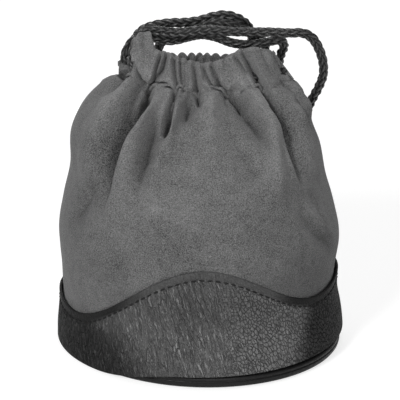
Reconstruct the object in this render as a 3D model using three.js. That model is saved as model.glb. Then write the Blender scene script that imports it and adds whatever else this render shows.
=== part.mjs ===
// A small drawstring pouch for a camera lens: a round moulded sole, a scalloped leather band,
// two suede panels gathered into two hem casings, and one braided drawcord through both of them.
// Millimetres, +Z up, origin on the floor in the middle of the sole. The front faces -Y.
import * as THREE from 'three';

// Sole and the stiff floor inside
const sole = { radius: 53.9, height: 4.6, edge: 0.8, right: 1.0, forward: 0.6 };
const board = { height: 1.8 };
const pad = { height: 3.4 };
const cover = { height: 0.8, edge: 0.3, clearance: 0.4 };
// What two pieces that touch keep between them
const seat = 0.3;

// Suede panels
const suede = { thickness: 1.0, seam: 0.4, inset: 0.9 };
// Rim of the mouth: where the panels end and the casings begin, at the middle of the bag
const rim = { height: 100, halfWidth: 31.5, halfDepth: 9.5, lean: -2.0, leftRise: 4.5, rightRise: 3.0 };

// Leather band
const leather = { thickness: 1.1, seat: 0.45, hemFlare: 1.1, hemTilt: 0.4, hemReach: 20, foot: 4.9 };
const scallop = { mean: 31, wave: 10.5, ripple: 4.5, slant: 5.4 };
const footSag = { slant: 1.2, drop: 3.6 };

// Braided cord and the hem casings that it runs in
const cord = { diameter: 3.6, play: 0.4 };
const casing = { halfLength: 25.5, frontHem: 11.8, backHem: 10.6, wall: 0.9, foot: 1.0, fold: 1.2 };
const mouth = { bow: 3.2, slit: 0.5, lift: 0.5 };
const ruffle = { count: 7, swell: 0.7 };
// How much higher the casings' tops are towards their ends, and the front one's tab on the left
const frontRise = { left: 3.0, tab: 5.8, right: 5.6 };
const backRise = { left: 0.6, tab: 0, right: 1.0 };
// Where these begin and end, as shares of the casing's half length
const riseShares = { leftEnd: 0.5, rightStart: 0.12, rightEnd: 0.62 };
const tabShares = { start: 0.62, full: 0.74, fall: 0.84, drop: 0.88 };
const knot = { radius: 4.6, length: 6.4 };

// Height of each station of a panel as a share of its height, with how full the bag is there:
// 1 is the foot's radius and 0 the rim's half width or half depth. Lean is a share of the rim's.
const stationShares = [
  { height: 0, width: 1, depth: 1, lean: 0 },
  { height: 0.09, width: 0.981, depth: 0.985, lean: 0.05 },
  { height: 0.17, width: 0.973, depth: 0.965, lean: 0.42 },
  { height: 0.25, width: 0.988, depth: 0.98, lean: 0.48 },
  { height: 0.37, width: 1.045, depth: 1, lean: 0.43 },
  { height: 0.49, width: 0.946, depth: 0.965, lean: 0.62 },
  { height: 0.61, width: 0.804, depth: 0.87, lean: 0.92 },
  { height: 0.73, width: 0.739, depth: 0.7, lean: 1.55 },
  { height: 0.83, width: 0.565, depth: 0.5, lean: 1.6 },
  { height: 0.89, width: 0.467, depth: 0.355, lean: 0.9 },
  { height: 0.935, width: 0.315, depth: 0.24, lean: 0.9 },
  { height: 0.97, width: 0.22, depth: 0.12, lean: 0.7 },
  { height: 1, width: 0, depth: 0, lean: 0.3 },
];

// Folds that fall from the rim: across is a share of the quarter turn, from the left seam at -1
// to the right seam at 1, at the rim and at the fold's foot; reach is how far down the fold runs.
const foldDepth = 4.4;
const frontFoldShares = [
  { top: -0.78, foot: -0.76, width: 0.08, depth: 0.6, reach: 0.3 },
  { top: -0.43, foot: -0.55, width: 0.07, depth: 1, reach: 0.46 },
  { top: -0.24, foot: -0.3, width: 0.06, depth: 0.7, reach: 0.3 },
  { top: -0.05, foot: -0.07, width: 0.06, depth: 0.5, reach: 0.2 },
  { top: 0.16, foot: 0.3, width: 0.06, depth: 0.55, reach: 0.24 },
  { top: 0.44, foot: 0.66, width: 0.075, depth: 0.85, reach: 0.42 },
  { top: 0.8, foot: 0.83, width: 0.08, depth: 0.45, reach: 0.32 },
];
const backFoldShares = [
  { top: -0.72, foot: -0.74, width: 0.08, depth: 0.55, reach: 0.32 },
  { top: -0.4, foot: -0.5, width: 0.075, depth: 0.85, reach: 0.4 },
  { top: -0.14, foot: -0.17, width: 0.065, depth: 0.65, reach: 0.28 },
  { top: 0.1, foot: 0.13, width: 0.065, depth: 0.65, reach: 0.34 },
  { top: 0.36, foot: 0.44, width: 0.07, depth: 0.85, reach: 0.44 },
  { top: 0.68, foot: 0.74, width: 0.08, depth: 0.55, reach: 0.3 },
];

// Routes of the cord's two free ends, chosen by hand, from the left slit to the end knots
const frontEndRoute = [
  [-27.9, -3.6, 107.6], [-29.9, -3.6, 107.9], [-31.2, -3.2, 109.3], [-31.6, -2.3, 111.6],
  [-30.7, -0.7, 114.6], [-28.2, 1.2, 117.5], [-24.8, 2.4, 120], [-21, 1.8, 121.4],
  [-16.8, -1.2, 122], [-9.6, -4, 122.4], [-2.2, -4.6, 123.5], [3.4, -4.6, 123.8],
  [9.8, -4.4, 123.3], [16.5, -4, 123.2], [24, -4, 123.3], [31.4, -3.2, 122.9], [36, -2, 122.7],
  [39.7, 0, 120.5], [42.6, 2.5, 115.8], [44.6, 5, 109.6], [45, 8, 103.6], [43.6, 11, 97.9],
  [41.4, 14, 92], [39.8, 18.6, 85.4], [38.2, 25, 77.1], [37.8, 30.5, 67.9], [37.6, 37.2, 58.9],
  [38.2, 43.2, 51.5],
];
const backEndRoute = [
  [-27.9, 3.6, 107.6], [-29.9, 3.7, 107.9], [-31.3, 4.1, 109.4], [-31.6, 4.6, 112.1],
  [-30.3, 5.4, 115.4], [-26.7, 6, 117.8], [-20.8, 5.6, 117.9], [-16, 3.8, 117], [-11.1, 2, 117.8],
  [-5.9, 0, 119.8], [-1.4, -0.2, 120.7], [3.9, 0, 119.8], [9.9, 0.2, 118.6], [16.7, 0.6, 118.2],
  [23.1, 2, 118.6], [27.7, 5, 117.8], [29.8, 9, 114.8], [28.8, 13, 109.9], [28, 17, 103.4],
  [28, 20.6, 94.8], [26.6, 27, 86.4], [22.4, 35, 79.4], [17, 35.7, 80.4], [13.4, 30, 88.2],
  [12.4, 23.7, 96.6], [14.4, 19.8, 104.4], [17.4, 18, 110.8], [17.4, 14.4, 117.4],
  [15.6, 11.2, 121.8], [12.1, 9, 124.8], [7.1, 8, 126.3], [2.2, 7.8, 125.5], [-2.6, 8, 123.9],
  [-7.9, 8.6, 122.9], [-13.6, 9.6, 122.3], [-19.4, 12, 120.6], [-24.6, 16, 117.2],
  [-27.8, 20.6, 111], [-27.3, 23.8, 104.2], [-25.8, 24.8, 100.9], [-23.2, 25, 99.6],
  [-20.6, 24.4, 100.8], [-19.2, 22.6, 104], [-17.8, 18.4, 110.6], [-13.6, 12.2, 116.5],
  [-7.4, 6, 120.1], [-1.4, 4, 122.4], [4, 3.6, 124.3], [9.4, 4.2, 123.6], [14.8, 6, 121],
  [19.2, 8.8, 117.9], [22.3, 13.8, 114.7], [23, 18, 108.4], [22.4, 21.8, 100.6], [20.8, 29.4, 92.6],
  [17.6, 37.4, 86], [11.4, 42.6, 79.2], [-3.9, 47, 70.6], [-14.4, 50.4, 63.2], [-20.9, 53.4, 55.4],
];
// Middles of the two end knots
const frontKnotPlace = [38.6, 44.4, 44.4];
const backKnotPlace = [-21.2, 55.1, 48.2];

const quarterTurn = Math.PI / 2;
const panelColumns = 44;
const tunnel = { width: cord.diameter + 2 * cord.play, height: cord.diameter + 6 * cord.play };
casing.thickness = tunnel.width + 2 * casing.wall;
const panelFoot = sole.height + seat;
const footRadius = sole.radius - suede.inset;
const turnGap = 1.5 * seat;
const turnReach = 1.3 * cord.diameter;

function smooth(share) {
  const held = THREE.MathUtils.clamp(share, 0, 1);
  return held * held * (3 - 2 * held);
}

// A smooth curve through one column of the stations
function station(column, height) {
  const last = stationShares.length - 1;
  const row = Math.min(stationShares.findIndex((s) => s.height >= height) || 1, last);
  const slope = (i) => {
    const below = stationShares[Math.max(i - 1, 0)];
    const above = stationShares[Math.min(i + 1, last)];
    return (above[column] - below[column]) / (above.height - below.height);
  };
  const from = stationShares[row - 1];
  const to = stationShares[row];
  const span = to.height - from.height;
  const t = (height - from.height) / span;
  const start = (1 + 2 * t) * (1 - t) ** 2 * from[column] + t * (1 - t) ** 2 * span * slope(row - 1);
  return start + t ** 2 * (3 - 2 * t) * to[column] + t ** 2 * (t - 1) * span * slope(row);
}

// Height of the seam under the casings, which climbs to both ends of the mouth
function seamHeight(x) {
  const out = (x - rim.lean) / rim.halfWidth;
  return rim.height + (out < 0 ? rim.leftRise : rim.rightRise) * out ** 2;
}

// How far a panel is drawn in at a point, by its folds and by the gathers at the rim
function drawnIn(across, height, folds) {
  let depth = 0;
  for (const fold of folds) {
    const down = (1 - height) / fold.reach;
    const centre = THREE.MathUtils.lerp(fold.top, fold.foot, Math.min(down, 1));
    const width = fold.width * (1 + Math.min(down, 1));
    const off = (across - centre) / width;
    const valley = Math.exp(-(off ** 2)) - 0.3 * Math.exp(-((Math.abs(off) - 2) ** 2));
    const swell = smooth((1 - down) / 0.55) * smooth(0.35 + down * 3);
    depth += foldDepth * fold.depth * valley * swell;
  }
  return depth * (1 - across ** 8);
}

// The outside of a panel: side is -1 for the front and 1 for the back
function bagPoint(side, across, height) {
  const folds = side < 0 ? frontFoldShares : backFoldShares;
  const turn = across * quarterTurn;
  const lean = rim.lean * station('lean', height);
  const wide = THREE.MathUtils.lerp(rim.halfWidth, footRadius, station('width', height));
  const deep = THREE.MathUtils.lerp(rim.halfDepth, footRadius, station('depth', height));
  const inward = drawnIn(across, height, folds);
  const x = lean + (wide - inward) * Math.sin(turn);
  const y = side * (suede.seam / 2 + Math.max(deep - inward, 0) * Math.cos(turn));
  const z = THREE.MathUtils.lerp(panelFoot, seamHeight(x), height);
  return new THREE.Vector3(x, y, z);
}

// The same point moved level through the cloth: out is how far off the panel's outside it lies
function skinPoint(side, across, height, out) {
  const step = 0.004;
  const point = bagPoint(side, across, height);
  const alongPanel = bagPoint(side, across + step, height).sub(bagPoint(side, across - step, height));
  const low = Math.max(height - step, 0);
  const upPanel = bagPoint(side, across, Math.min(height + step, 1)).sub(bagPoint(side, across, low));
  const normal = alongPanel.cross(upPanel).normalize().multiplyScalar(-side);
  const level = new THREE.Vector3(normal.x, normal.y, 0);
  const leastLevel = 0.5;
  point.addScaledVector(level.clone().normalize(), out / Math.max(level.length(), leastLevel));
  const seamPlane = suede.seam / 2;
  if (Math.abs(across) > 1 - step || side * point.y < seamPlane) point.setY(side * seamPlane);
  return point;
}

// Closed body from sections that each hold the same loop of points, capped by fans or by a ring
function loft(sections, caps) {
  const count = sections[0].length;
  const positions = sections.flat().flatMap((p) => [p.x, p.y, p.z]);
  const indices = [];
  for (let row = 0; row + 1 < sections.length; row += 1) {
    for (const loop of caps.loops) {
      for (let i = 0; i < loop.length; i += 1) {
        const a = row * count + loop[i];
        const b = row * count + loop[(i + 1) % loop.length];
        indices.push(a, b, b + count, a, b + count, a + count);
      }
    }
  }
  const end = (sections.length - 1) * count;
  for (const [a, b, c] of caps.faces) indices.push(a, c, b, end + a, end + b, end + c);
  const geometry = new THREE.BufferGeometry();
  geometry.setAttribute('position', new THREE.Float32BufferAttribute(positions, 3));
  geometry.setIndex(indices);
  return geometry;
}

// A bent sheet: outer and inner skins over a grid, closed along its four edges
function sheet(columns, rows, outer, inner) {
  const sections = [];
  for (let i = 0; i <= columns; i += 1) {
    const across = -1 + (2 * i) / columns;
    const up = Array.from({ length: rows + 1 }, (_, j) => outer(across, j / rows));
    const down = Array.from({ length: rows + 1 }, (_, j) => inner(across, 1 - j / rows));
    sections.push([...up, ...down]);
  }
  const ring = 2 * (rows + 1);
  const faces = [];
  for (let j = 0; j < rows; j += 1) {
    faces.push([j, j + 1, ring - 2 - j], [j, ring - 2 - j, ring - 1 - j]);
  }
  return loft(sections, { loops: [Array.from({ length: ring }, (_, i) => i)], faces });
}

// Turns a mesh inside out when its volume comes out negative, as on the mirrored back pieces
function faceOut(geometry) {
  const index = geometry.index.array;
  const place = geometry.attributes.position;
  const corner = [new THREE.Vector3(), new THREE.Vector3(), new THREE.Vector3()];
  let volume = 0;
  for (let i = 0; i < index.length; i += 3) {
    corner.forEach((p, k) => p.fromBufferAttribute(place, index[i + k]));
    volume += corner[0].dot(corner[1].clone().cross(corner[2]));
  }
  if (volume < 0) {
    for (let i = 0; i < index.length; i += 3) {
      [index[i], index[i + 1]] = [index[i + 1], index[i]];
    }
  }
  geometry.computeVertexNormals();
  return geometry;
}

// Share of a panel's height at a height above the floor
function panelShare(z, x) {
  return THREE.MathUtils.clamp((z - panelFoot) / (seamHeight(x) - panelFoot), 0, 1);
}

function suedePanel(side) {
  const outer = (across, height) => skinPoint(side, across, height, 0);
  const inner = (across, height) => skinPoint(side, across, height, -suede.thickness);
  return faceOut(sheet(panelColumns, 18, outer, inner));
}

// Top edge of the leather band, which waves and hangs lower on the left
function bandTop(turn) {
  const waves = scallop.wave * Math.cos(2 * turn) + scallop.ripple * Math.cos(4 * turn);
  return scallop.mean + waves + scallop.slant * Math.sin(turn);
}

// Foot of the leather band, which has slipped down over the sole on the left
function bandFoot(turn) {
  const slip = smooth((-Math.sin(turn) - 0.1) / 0.6);
  return leather.foot + footSag.slant * Math.sin(turn) - footSag.drop * slip;
}

// How far the band's hem stands off the suede, to reach round the sole
function hemFlare(turn) {
  return leather.hemFlare + leather.hemTilt * Math.sin(turn);
}

function leatherBand(side) {
  const skin = (across, share, out) => {
    const turn = across * quarterTurn;
    const z = THREE.MathUtils.lerp(bandFoot(turn), bandTop(turn), share);
    const flare = hemFlare(turn) * smooth(1 - (z - leather.foot) / leather.hemReach);
    const height = panelShare(z, footRadius * Math.sin(turn));
    return skinPoint(side, across, height, leather.seat + flare + out).setZ(z);
  };
  const outer = (across, share) => skin(across, share, leather.thickness);
  const inner = (across, share) => skin(across, share, 0);
  return faceOut(sheet(panelColumns, 7, outer, inner));
}

// Middle line of a casing in plan, and its foot and top along the mouth
function casingPlace(side, along) {
  const x = rim.lean + casing.halfLength * along;
  const bow = mouth.bow * Math.cos(along * quarterTurn) ** 2;
  return { x, y: side * (mouth.slit + casing.thickness / 2 + bow), foot: seamHeight(x) + mouth.lift };
}

// Smooth step from one share to another
function between(share, from, to) {
  return smooth((share - from) / (to - from));
}

function casingRise(side, along) {
  const rise = side < 0 ? frontRise : backRise;
  const right = rise.right * between(along, riseShares.rightStart, riseShares.rightEnd);
  const left = rise.left * between(-along, 0, riseShares.leftEnd);
  const fall = 1 - tabShares.drop * between(-along, tabShares.fall, 1);
  return right + left + rise.tab * fall * between(-along, tabShares.start, tabShares.full);
}

// Section of a casing, as distances out from the mouth and up from the casing's foot
function casingSection(side, along) {
  const hem = side < 0 ? casing.frontHem : casing.backHem;
  const half = casing.thickness / 2;
  const height = hem + casingRise(side, along);
  const puff = (ruffle.swell / 2) * (1 - Math.cos(along * ruffle.count * Math.PI)) * (1 - along ** 6);
  const outside = half + puff;
  const skin = [
    [0.55 * half, 0], [outside, 0.3 * hem], [outside, 0.7 * hem], [0.8 * half, height - casing.fold],
    [0.4 * half, height - 0.2 * casing.fold], [-0.4 * half, height - 0.2 * casing.fold],
    [-0.8 * half, height - casing.fold], [-half, 0.7 * hem], [-half, 0.3 * hem], [-0.55 * half, 0],
  ];
  const low = casing.foot;
  const high = low + tunnel.height;
  const wide = tunnel.width / 2;
  const chamfer = tunnel.width / 6;
  const bore = [
    [chamfer - wide, low], [-wide, low + chamfer], [-wide, high - chamfer], [chamfer - wide, high],
    [wide - chamfer, high], [wide, high - chamfer], [wide, low + chamfer], [wide - chamfer, low],
  ];
  return { skin, bore };
}

function hemCasing(side) {
  const steps = 28;
  const sections = [];
  for (let i = 0; i <= steps; i += 1) {
    const along = -1 + (2 * i) / steps;
    const place = casingPlace(side, along);
    const { skin, bore } = casingSection(side, along);
    sections.push([...skin, ...bore].map(([out, up]) => (
      new THREE.Vector3(place.x, place.y + side * out, place.foot + up)
    )));
  }
  const { skin, bore } = casingSection(side, -1);
  const flat = (loop) => loop.map(([out, up]) => new THREE.Vector2(out, up));
  const faces = THREE.ShapeUtils.triangulateShape(flat(skin), [flat(bore)]);
  const loops = [skin.map((_, i) => i), bore.map((_, i) => skin.length + i)];
  return faceOut(loft(sections, { loops, faces }));
}

// Round tube of the cord's diameter along points
function cordTube(points, steps) {
  const sides = 8;
  const section = new THREE.Shape(Array.from({ length: sides }, (_, i) => {
    const turn = (2 * Math.PI * i) / sides;
    return new THREE.Vector2(Math.cos(turn), Math.sin(turn)).multiplyScalar(cord.diameter / 2);
  }));
  const extrudePath = new THREE.CatmullRomCurve3(points, false, 'centripetal');
  return new THREE.ExtrudeGeometry(section, { steps, extrudePath, bevelEnabled: false });
}

function freeEnd(route) {
  return cordTube(route.map(([x, y, z]) => new THREE.Vector3(x, y, z)), route.length - 2);
}

// Middle of the tunnel at a place along a casing
function tunnelMiddle(side, along) {
  const place = casingPlace(side, along);
  return new THREE.Vector3(place.x, place.y, place.foot + casing.foot + tunnel.height / 2);
}

function heldStretch(side) {
  const stops = 10;
  const stop = (i) => tunnelMiddle(side, -1 + (2 * i) / stops);
  return cordTube(Array.from({ length: stops + 1 }, (_, i) => stop(i)), stops);
}

// The turn that the cord makes across the right slit, from one casing into the other
function slitTurn() {
  const end = tunnelMiddle(-1, 1);
  const climb = end.clone().sub(tunnelMiddle(-1, 0.9)).normalize();
  const reachShares = [0, 0.12, 0.62, 0.94, 1, 0.94, 0.62, 0.12, 0];
  const last = reachShares.length - 1;
  const points = reachShares.map((share, i) => {
    const across = Math.cos(Math.PI * smooth((i - 1) / (last - 2)));
    const point = end.clone().addScaledVector(climb, turnGap + turnReach * share);
    return point.setY(end.y * across);
  });
  return cordTube(points, 10);
}

function knotBall(at) {
  const geometry = new THREE.SphereGeometry(knot.radius, 12, 8);
  geometry.scale(1, 1, knot.length / knot.radius);
  geometry.translate(...at);
  return geometry;
}

function disc(radius, height, edge) {
  const profile = [[0, 0], [radius - edge, 0], [radius, edge], [radius, height - edge]];
  profile.push([radius - edge, height], [0, height]);
  return new THREE.LatheGeometry(profile.map(([r, z]) => new THREE.Vector2(r, z)), 48);
}

const finishes = {
  sole: { color: 0x2f2f30, roughness: 0.45, metalness: 0 },
  board: { color: 0x7a6a52, roughness: 0.9, metalness: 0 },
  foam: { color: 0x3a3a3c, roughness: 0.95, metalness: 0 },
  suede: { color: 0x6c6c6c, roughness: 0.95, metalness: 0 },
  leather: { color: 0x3a3a3b, roughness: 0.5, metalness: 0 },
  cord: { color: 0x2c2c2d, roughness: 0.7, metalness: 0 },
};

const pouch = new THREE.Group();

function add(name, finish, geometry) {
  const mesh = new THREE.Mesh(geometry, new THREE.MeshStandardMaterial(finishes[finish]));
  mesh.name = name;
  pouch.add(mesh);
  return mesh;
}

// A turned disc stands on its axis, from the height that it starts at
function addDisc(name, finish, radius, height, edge, start) {
  const mesh = add(name, finish, disc(radius, height, edge));
  mesh.rotation.x = quarterTurn;
  mesh.position.z = start;
  return mesh;
}

// Widest disc that lies inside the panels up to a height
function floorRadius(z) {
  const share = panelShare(z, footRadius);
  const wide = THREE.MathUtils.lerp(rim.halfWidth, footRadius, station('width', share));
  return wide + rim.lean * station('lean', share) - suede.thickness - cover.clearance;
}

const boardStart = sole.height + seat;
const padStart = boardStart + board.height + seat;
const coverStart = padStart + pad.height + seat;
const soleMesh = addDisc('sole', 'sole', sole.radius, sole.height, sole.edge, 0);
soleMesh.position.x = sole.right;
soleMesh.position.y = -sole.forward;
addDisc('base_board', 'board', floorRadius(boardStart + board.height), board.height, cover.edge, boardStart);
addDisc('base_pad', 'foam', floorRadius(padStart + pad.height), pad.height, cover.edge, padStart);
addDisc('pad_cover', 'suede', floorRadius(coverStart + cover.height), cover.height, cover.edge, coverStart);

add('suede_front_panel', 'suede', suedePanel(-1));
add('suede_back_panel', 'suede', suedePanel(1));
add('leather_band_front', 'leather', leatherBand(-1));
add('leather_band_back', 'leather', leatherBand(1));
add('front_casing', 'suede', hemCasing(-1));
add('back_casing', 'suede', hemCasing(1));

add('cord_front_held', 'cord', heldStretch(-1));
add('cord_back_held', 'cord', heldStretch(1));
add('cord_right_turn', 'cord', slitTurn());
add('cord_front_end', 'cord', freeEnd(frontEndRoute));
add('cord_back_end', 'cord', freeEnd(backEndRoute));
add('front_end_knot', 'cord', knotBall(frontKnotPlace));
add('back_end_knot', 'cord', knotBall(backKnotPlace));

export default pouch;
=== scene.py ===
# %% [markdown]
# # A drawstring lens pouch
# A soft suede bag stands on a stiff round sole. A band of pebbled leather with a wavy top edge
# runs round its foot, and a braided cord in a folded hem draws its mouth together. The packed
# CAD model gives the frame: every piece here sits where its solid sits, in the same metres.

# %% Load the frame
import math

import bpy
import numpy as np
from mathutils import Matrix, Vector


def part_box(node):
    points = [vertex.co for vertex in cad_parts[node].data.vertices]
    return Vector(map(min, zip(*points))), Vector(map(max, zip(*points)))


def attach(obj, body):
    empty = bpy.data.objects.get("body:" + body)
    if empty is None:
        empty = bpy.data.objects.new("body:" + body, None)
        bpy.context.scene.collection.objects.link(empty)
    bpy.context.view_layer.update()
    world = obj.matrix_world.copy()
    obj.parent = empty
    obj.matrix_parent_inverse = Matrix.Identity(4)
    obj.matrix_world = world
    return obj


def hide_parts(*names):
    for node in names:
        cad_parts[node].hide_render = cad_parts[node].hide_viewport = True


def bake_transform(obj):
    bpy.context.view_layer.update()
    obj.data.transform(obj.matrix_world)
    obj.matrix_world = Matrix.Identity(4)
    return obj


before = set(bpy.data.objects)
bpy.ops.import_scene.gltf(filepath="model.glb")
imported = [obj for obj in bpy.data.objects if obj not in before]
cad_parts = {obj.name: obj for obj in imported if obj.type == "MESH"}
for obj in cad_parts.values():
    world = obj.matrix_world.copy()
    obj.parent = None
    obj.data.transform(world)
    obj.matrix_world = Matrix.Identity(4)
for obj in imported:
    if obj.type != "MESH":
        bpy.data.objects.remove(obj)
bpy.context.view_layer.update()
MM = 0.001
QUARTER = math.pi / 2
# Each side of the pouch: its sign along y and its name
SIDES = ((-1, "front"), (1, "back"))

# %% [markdown]
# ## The camera
# The picture was taken from a little above, with a long lens from about a step away. A long lens
# keeps the sole's curve shallow. The camera aims at the middle of the bag, and it is turned by
# about a degree round its own axis, because the bag leans that much in the picture.

# %% Camera
TARGET = Vector((0, 0, 0.055))
CAMERA_RISE = math.radians(19.3)
CAMERA_ROLL = math.radians(1.28)
CAMERA_DISTANCE = 0.9

camera_data = bpy.data.cameras.new("camera")
camera_data.sensor_width = 36
camera_data.lens = 210.9
camera_data.shift_x = -0.005
camera_data.clip_end = 20
camera = bpy.data.objects.new("camera", camera_data)
bpy.context.scene.collection.objects.link(camera)
stand = TARGET + CAMERA_DISTANCE * Vector((0, -math.cos(CAMERA_RISE), math.sin(CAMERA_RISE)))
tilt = Matrix.Rotation(QUARTER - CAMERA_RISE, 4, "X") @ Matrix.Rotation(CAMERA_ROLL, 4, "Z")
camera.matrix_world = Matrix.Translation(stand) @ tilt
bpy.context.scene.camera = camera
print("camera at", tuple(round(c, 3) for c in stand))

# %% [markdown]
# ## Helpers for soft pieces
# Cloth and cord are easiest to place by a formula: a flat grid is added, and each of its vertices
# moves to where its two shares, along and up, say that it lies. The grid brings its UV map with
# it, so a pattern can follow the cloth.


# %% Grid, edit and finish helpers
WELD_DISTANCE = 2e-6


def smooth(share):
    """A soft step from 0 to 1."""
    t = np.clip(share, 0, 1)
    return t * t * (3 - 2 * t)


def take(piece):
    """Makes a piece the active one and the only one selected."""
    bpy.ops.object.select_all(action="DESELECT")
    piece.select_set(True)
    bpy.context.view_layer.objects.active = piece


def read_points(piece):
    flat = np.empty(len(piece.data.vertices) * 3)
    piece.data.vertices.foreach_get("co", flat)
    return flat.reshape(-1, 3)


def grid_piece(name, columns, rows, place):
    """A grid whose vertices move to place(along, up), which gives millimetres."""
    bpy.ops.object.select_all(action="DESELECT")
    bpy.ops.mesh.primitive_grid_add(x_subdivisions=columns, y_subdivisions=rows, size=2)
    piece = bpy.context.active_object
    piece.name = piece.data.name = name
    flat = read_points(piece)
    along, up = (flat[:, 0] + 1) / 2, (flat[:, 1] + 1) / 2
    piece.data.vertices.foreach_set("co", (place(along, up) * MM).ravel())
    piece.data.update()
    return piece


def edit(piece, *steps):
    """Runs mesh operators on all of a piece, each one given as a function of no arguments."""
    take(piece)
    bpy.ops.object.mode_set(mode="EDIT")
    for step in steps:
        bpy.ops.mesh.select_all(action="SELECT")
        step()
    bpy.ops.object.mode_set(mode="OBJECT")


def weld():
    bpy.ops.mesh.remove_doubles(threshold=WELD_DISTANCE)


def face_outwards():
    bpy.ops.mesh.normals_make_consistent(inside=False)


def close_seams(piece):
    edit(piece, weld, lambda: bpy.ops.mesh.fill_holes(sides=0), face_outwards)


def apply_modifier(piece, kind, **values):
    take(piece)
    modifier = piece.modifiers.new(kind.lower(), kind)
    for key, value in values.items():
        setattr(modifier, key, value)
    bpy.ops.object.modifier_apply(modifier=modifier.name)


def shade_smooth(piece):
    piece.data.polygons.foreach_set("use_smooth", [True] * len(piece.data.polygons))
    piece.data.update()


def smooth_by_angle(piece, degrees=60):
    take(piece)
    bpy.ops.object.shade_smooth_by_angle(angle=math.radians(degrees))


def put_values(piece, **layers):
    """Stores one number per vertex under each name, for a material to read."""
    for name, values in layers.items():
        layer = piece.data.attributes.new(name, "FLOAT", "POINT")
        layer.data.foreach_set("value", np.asarray(values, np.float32))


# %% [markdown]
# ## The cord's braid
# A round braid is made of strands that wind both ways and pass over and under each other, so its
# outline is a row of bumps. A bump map alone would leave that outline smooth, so the tube's own
# vertices rise and fall with the strands. The two free ends leave the left slit, cross behind the
# mouth and hang down the back: the front end on the right, the back end in two loops first.

# %% Cord routes, in millimetres
CORD_DIAMETER = 0.0036
FRONT_END_ROUTE = [
    (-25.2, -3.6, 107.6), (-26.7, -3.4, 108.2), (-27.4, -2.6, 110.0), (-27.4, -1.2, 112.7),
    (-26.6, 0.4, 115.6), (-25.2, 1.6, 118.4), (-23.2, 2.2, 120.5), (-20.2, 1.2, 121.5),
    (-16.4, -1.4, 122.0), (-9.6, -4.0, 122.4), (-2.2, -4.6, 123.5), (3.4, -4.6, 123.8),
    (9.8, -4.4, 123.3), (16.5, -4.0, 123.2), (24.0, -4.0, 123.3), (31.4, -3.2, 122.9),
    (36.0, -2.0, 122.7), (39.7, 0.0, 120.5), (42.6, 2.5, 115.8), (44.6, 5.0, 109.6),
    (45.0, 8.0, 103.6), (43.6, 11.0, 97.9), (41.4, 14.0, 92.0), (39.8, 18.6, 85.4),
    (38.2, 25.0, 77.1), (37.8, 30.5, 67.9), (37.6, 37.2, 58.9), (38.2, 43.2, 51.5),
]
BACK_END_ROUTE = [
    (-27.9, 3.6, 107.6), (-29.4, 3.7, 108.1), (-30.3, 3.9, 109.6), (-30.0, 4.2, 111.9),
    (-28.8, 4.8, 114.4), (-26.6, 5.4, 116.8), (-21.2, 5.5, 117.9), (-16.0, 3.8, 117.0),
    (-11.1, 2.0, 117.8), (-5.9, 0.0, 119.8), (-1.4, -0.2, 120.7), (3.9, 0.0, 119.8),
    (9.9, 0.2, 117.7), (16.7, 0.6, 117.0), (23.1, 2.0, 117.8), (27.7, 5.0, 117.8),
    (29.8, 9.0, 114.8), (28.8, 13.0, 109.9), (28.0, 17.0, 103.4), (28.0, 20.6, 94.8),
    (27.9, 25.6, 88.0), (26.0, 31.4, 81.2), (22.4, 35.7, 77.0), (17.8, 37.8, 76.6),
    (13.6, 36.0, 80.2), (11.8, 29.8, 87.2), (12.2, 23.7, 96.0), (14.4, 19.8, 104.4),
    (17.4, 18.0, 110.8), (17.4, 14.4, 117.4), (15.6, 11.2, 121.8), (12.1, 9.0, 124.8),
    (7.1, 8.0, 126.3), (2.2, 7.8, 125.5), (-2.6, 8.0, 123.9), (-7.9, 8.6, 122.9),
    (-13.6, 9.6, 122.3), (-19.4, 12.0, 120.6), (-24.6, 16.0, 117.2), (-28.0, 19.8, 111.4),
    (-29.6, 23.0, 105.2), (-29.2, 24.8, 100.2), (-26.6, 25.8, 96.6), (-22.6, 25.8, 96.2),
    (-19.6, 24.6, 99.6), (-18.6, 22.2, 104.8), (-17.8, 17.8, 110.8), (-14.2, 12.2, 116.4),
    (-7.4, 6.0, 120.1), (-1.4, 4.0, 122.4), (4.0, 3.6, 124.3), (9.4, 4.2, 123.6),
    (14.8, 6.0, 121.0), (19.2, 8.8, 117.9), (22.3, 13.8, 114.7), (23.0, 18.0, 108.4),
    (22.4, 21.8, 100.6), (20.8, 29.4, 92.6), (17.6, 37.4, 86.0), (11.4, 42.6, 79.2),
    (-3.9, 47.0, 70.6), (-14.4, 50.4, 63.2), (-20.9, 53.4, 55.4),
]
print("cord routes:", len(FRONT_END_ROUTE), len(BACK_END_ROUTE), "points")


# %% Smooth path, frames along it and the braided tube
def reach_along(points, power=1.0):
    """How far along a line each of its points lies, with every step raised to a power."""
    steps = np.linalg.norm(np.diff(points, axis=0), axis=1)
    return np.concatenate([[0], np.cumsum(steps**power)])


def between(low, high, t, start, end):
    """The start where t is low, the end where it is high."""
    return start * (high - t) / (high - low) + end * (t - low) / (high - low)


def smooth_path(points, step):
    """Centripetal curve through the points, resampled at an even step in the same unit."""
    p = np.asarray(points, float)
    p = np.vstack([2 * p[0] - p[1], p, 2 * p[-1] - p[-2]])
    knots = reach_along(p, 0.5)
    pieces = []
    for i in range(1, len(p) - 2):
        a, b, c, d = knots[i - 1 : i + 3]
        t = np.linspace(b, c, 24, endpoint=False)[:, None]
        first, second = between(a, b, t, p[i - 1], p[i]), between(b, c, t, p[i], p[i + 1])
        third = between(c, d, t, p[i + 1], p[i + 2])
        left, right = between(a, c, t, first, second), between(b, d, t, second, third)
        pieces.append(between(b, c, t, left, right))
    dense = np.vstack([*pieces, p[-2:-1]])
    reach = reach_along(dense)
    count = max(int(round(reach[-1] / step)), 4)
    even = np.linspace(0, reach[-1], count + 1)
    return np.stack([np.interp(even, reach, dense[:, k]) for k in range(3)], 1), reach[-1]


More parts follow.
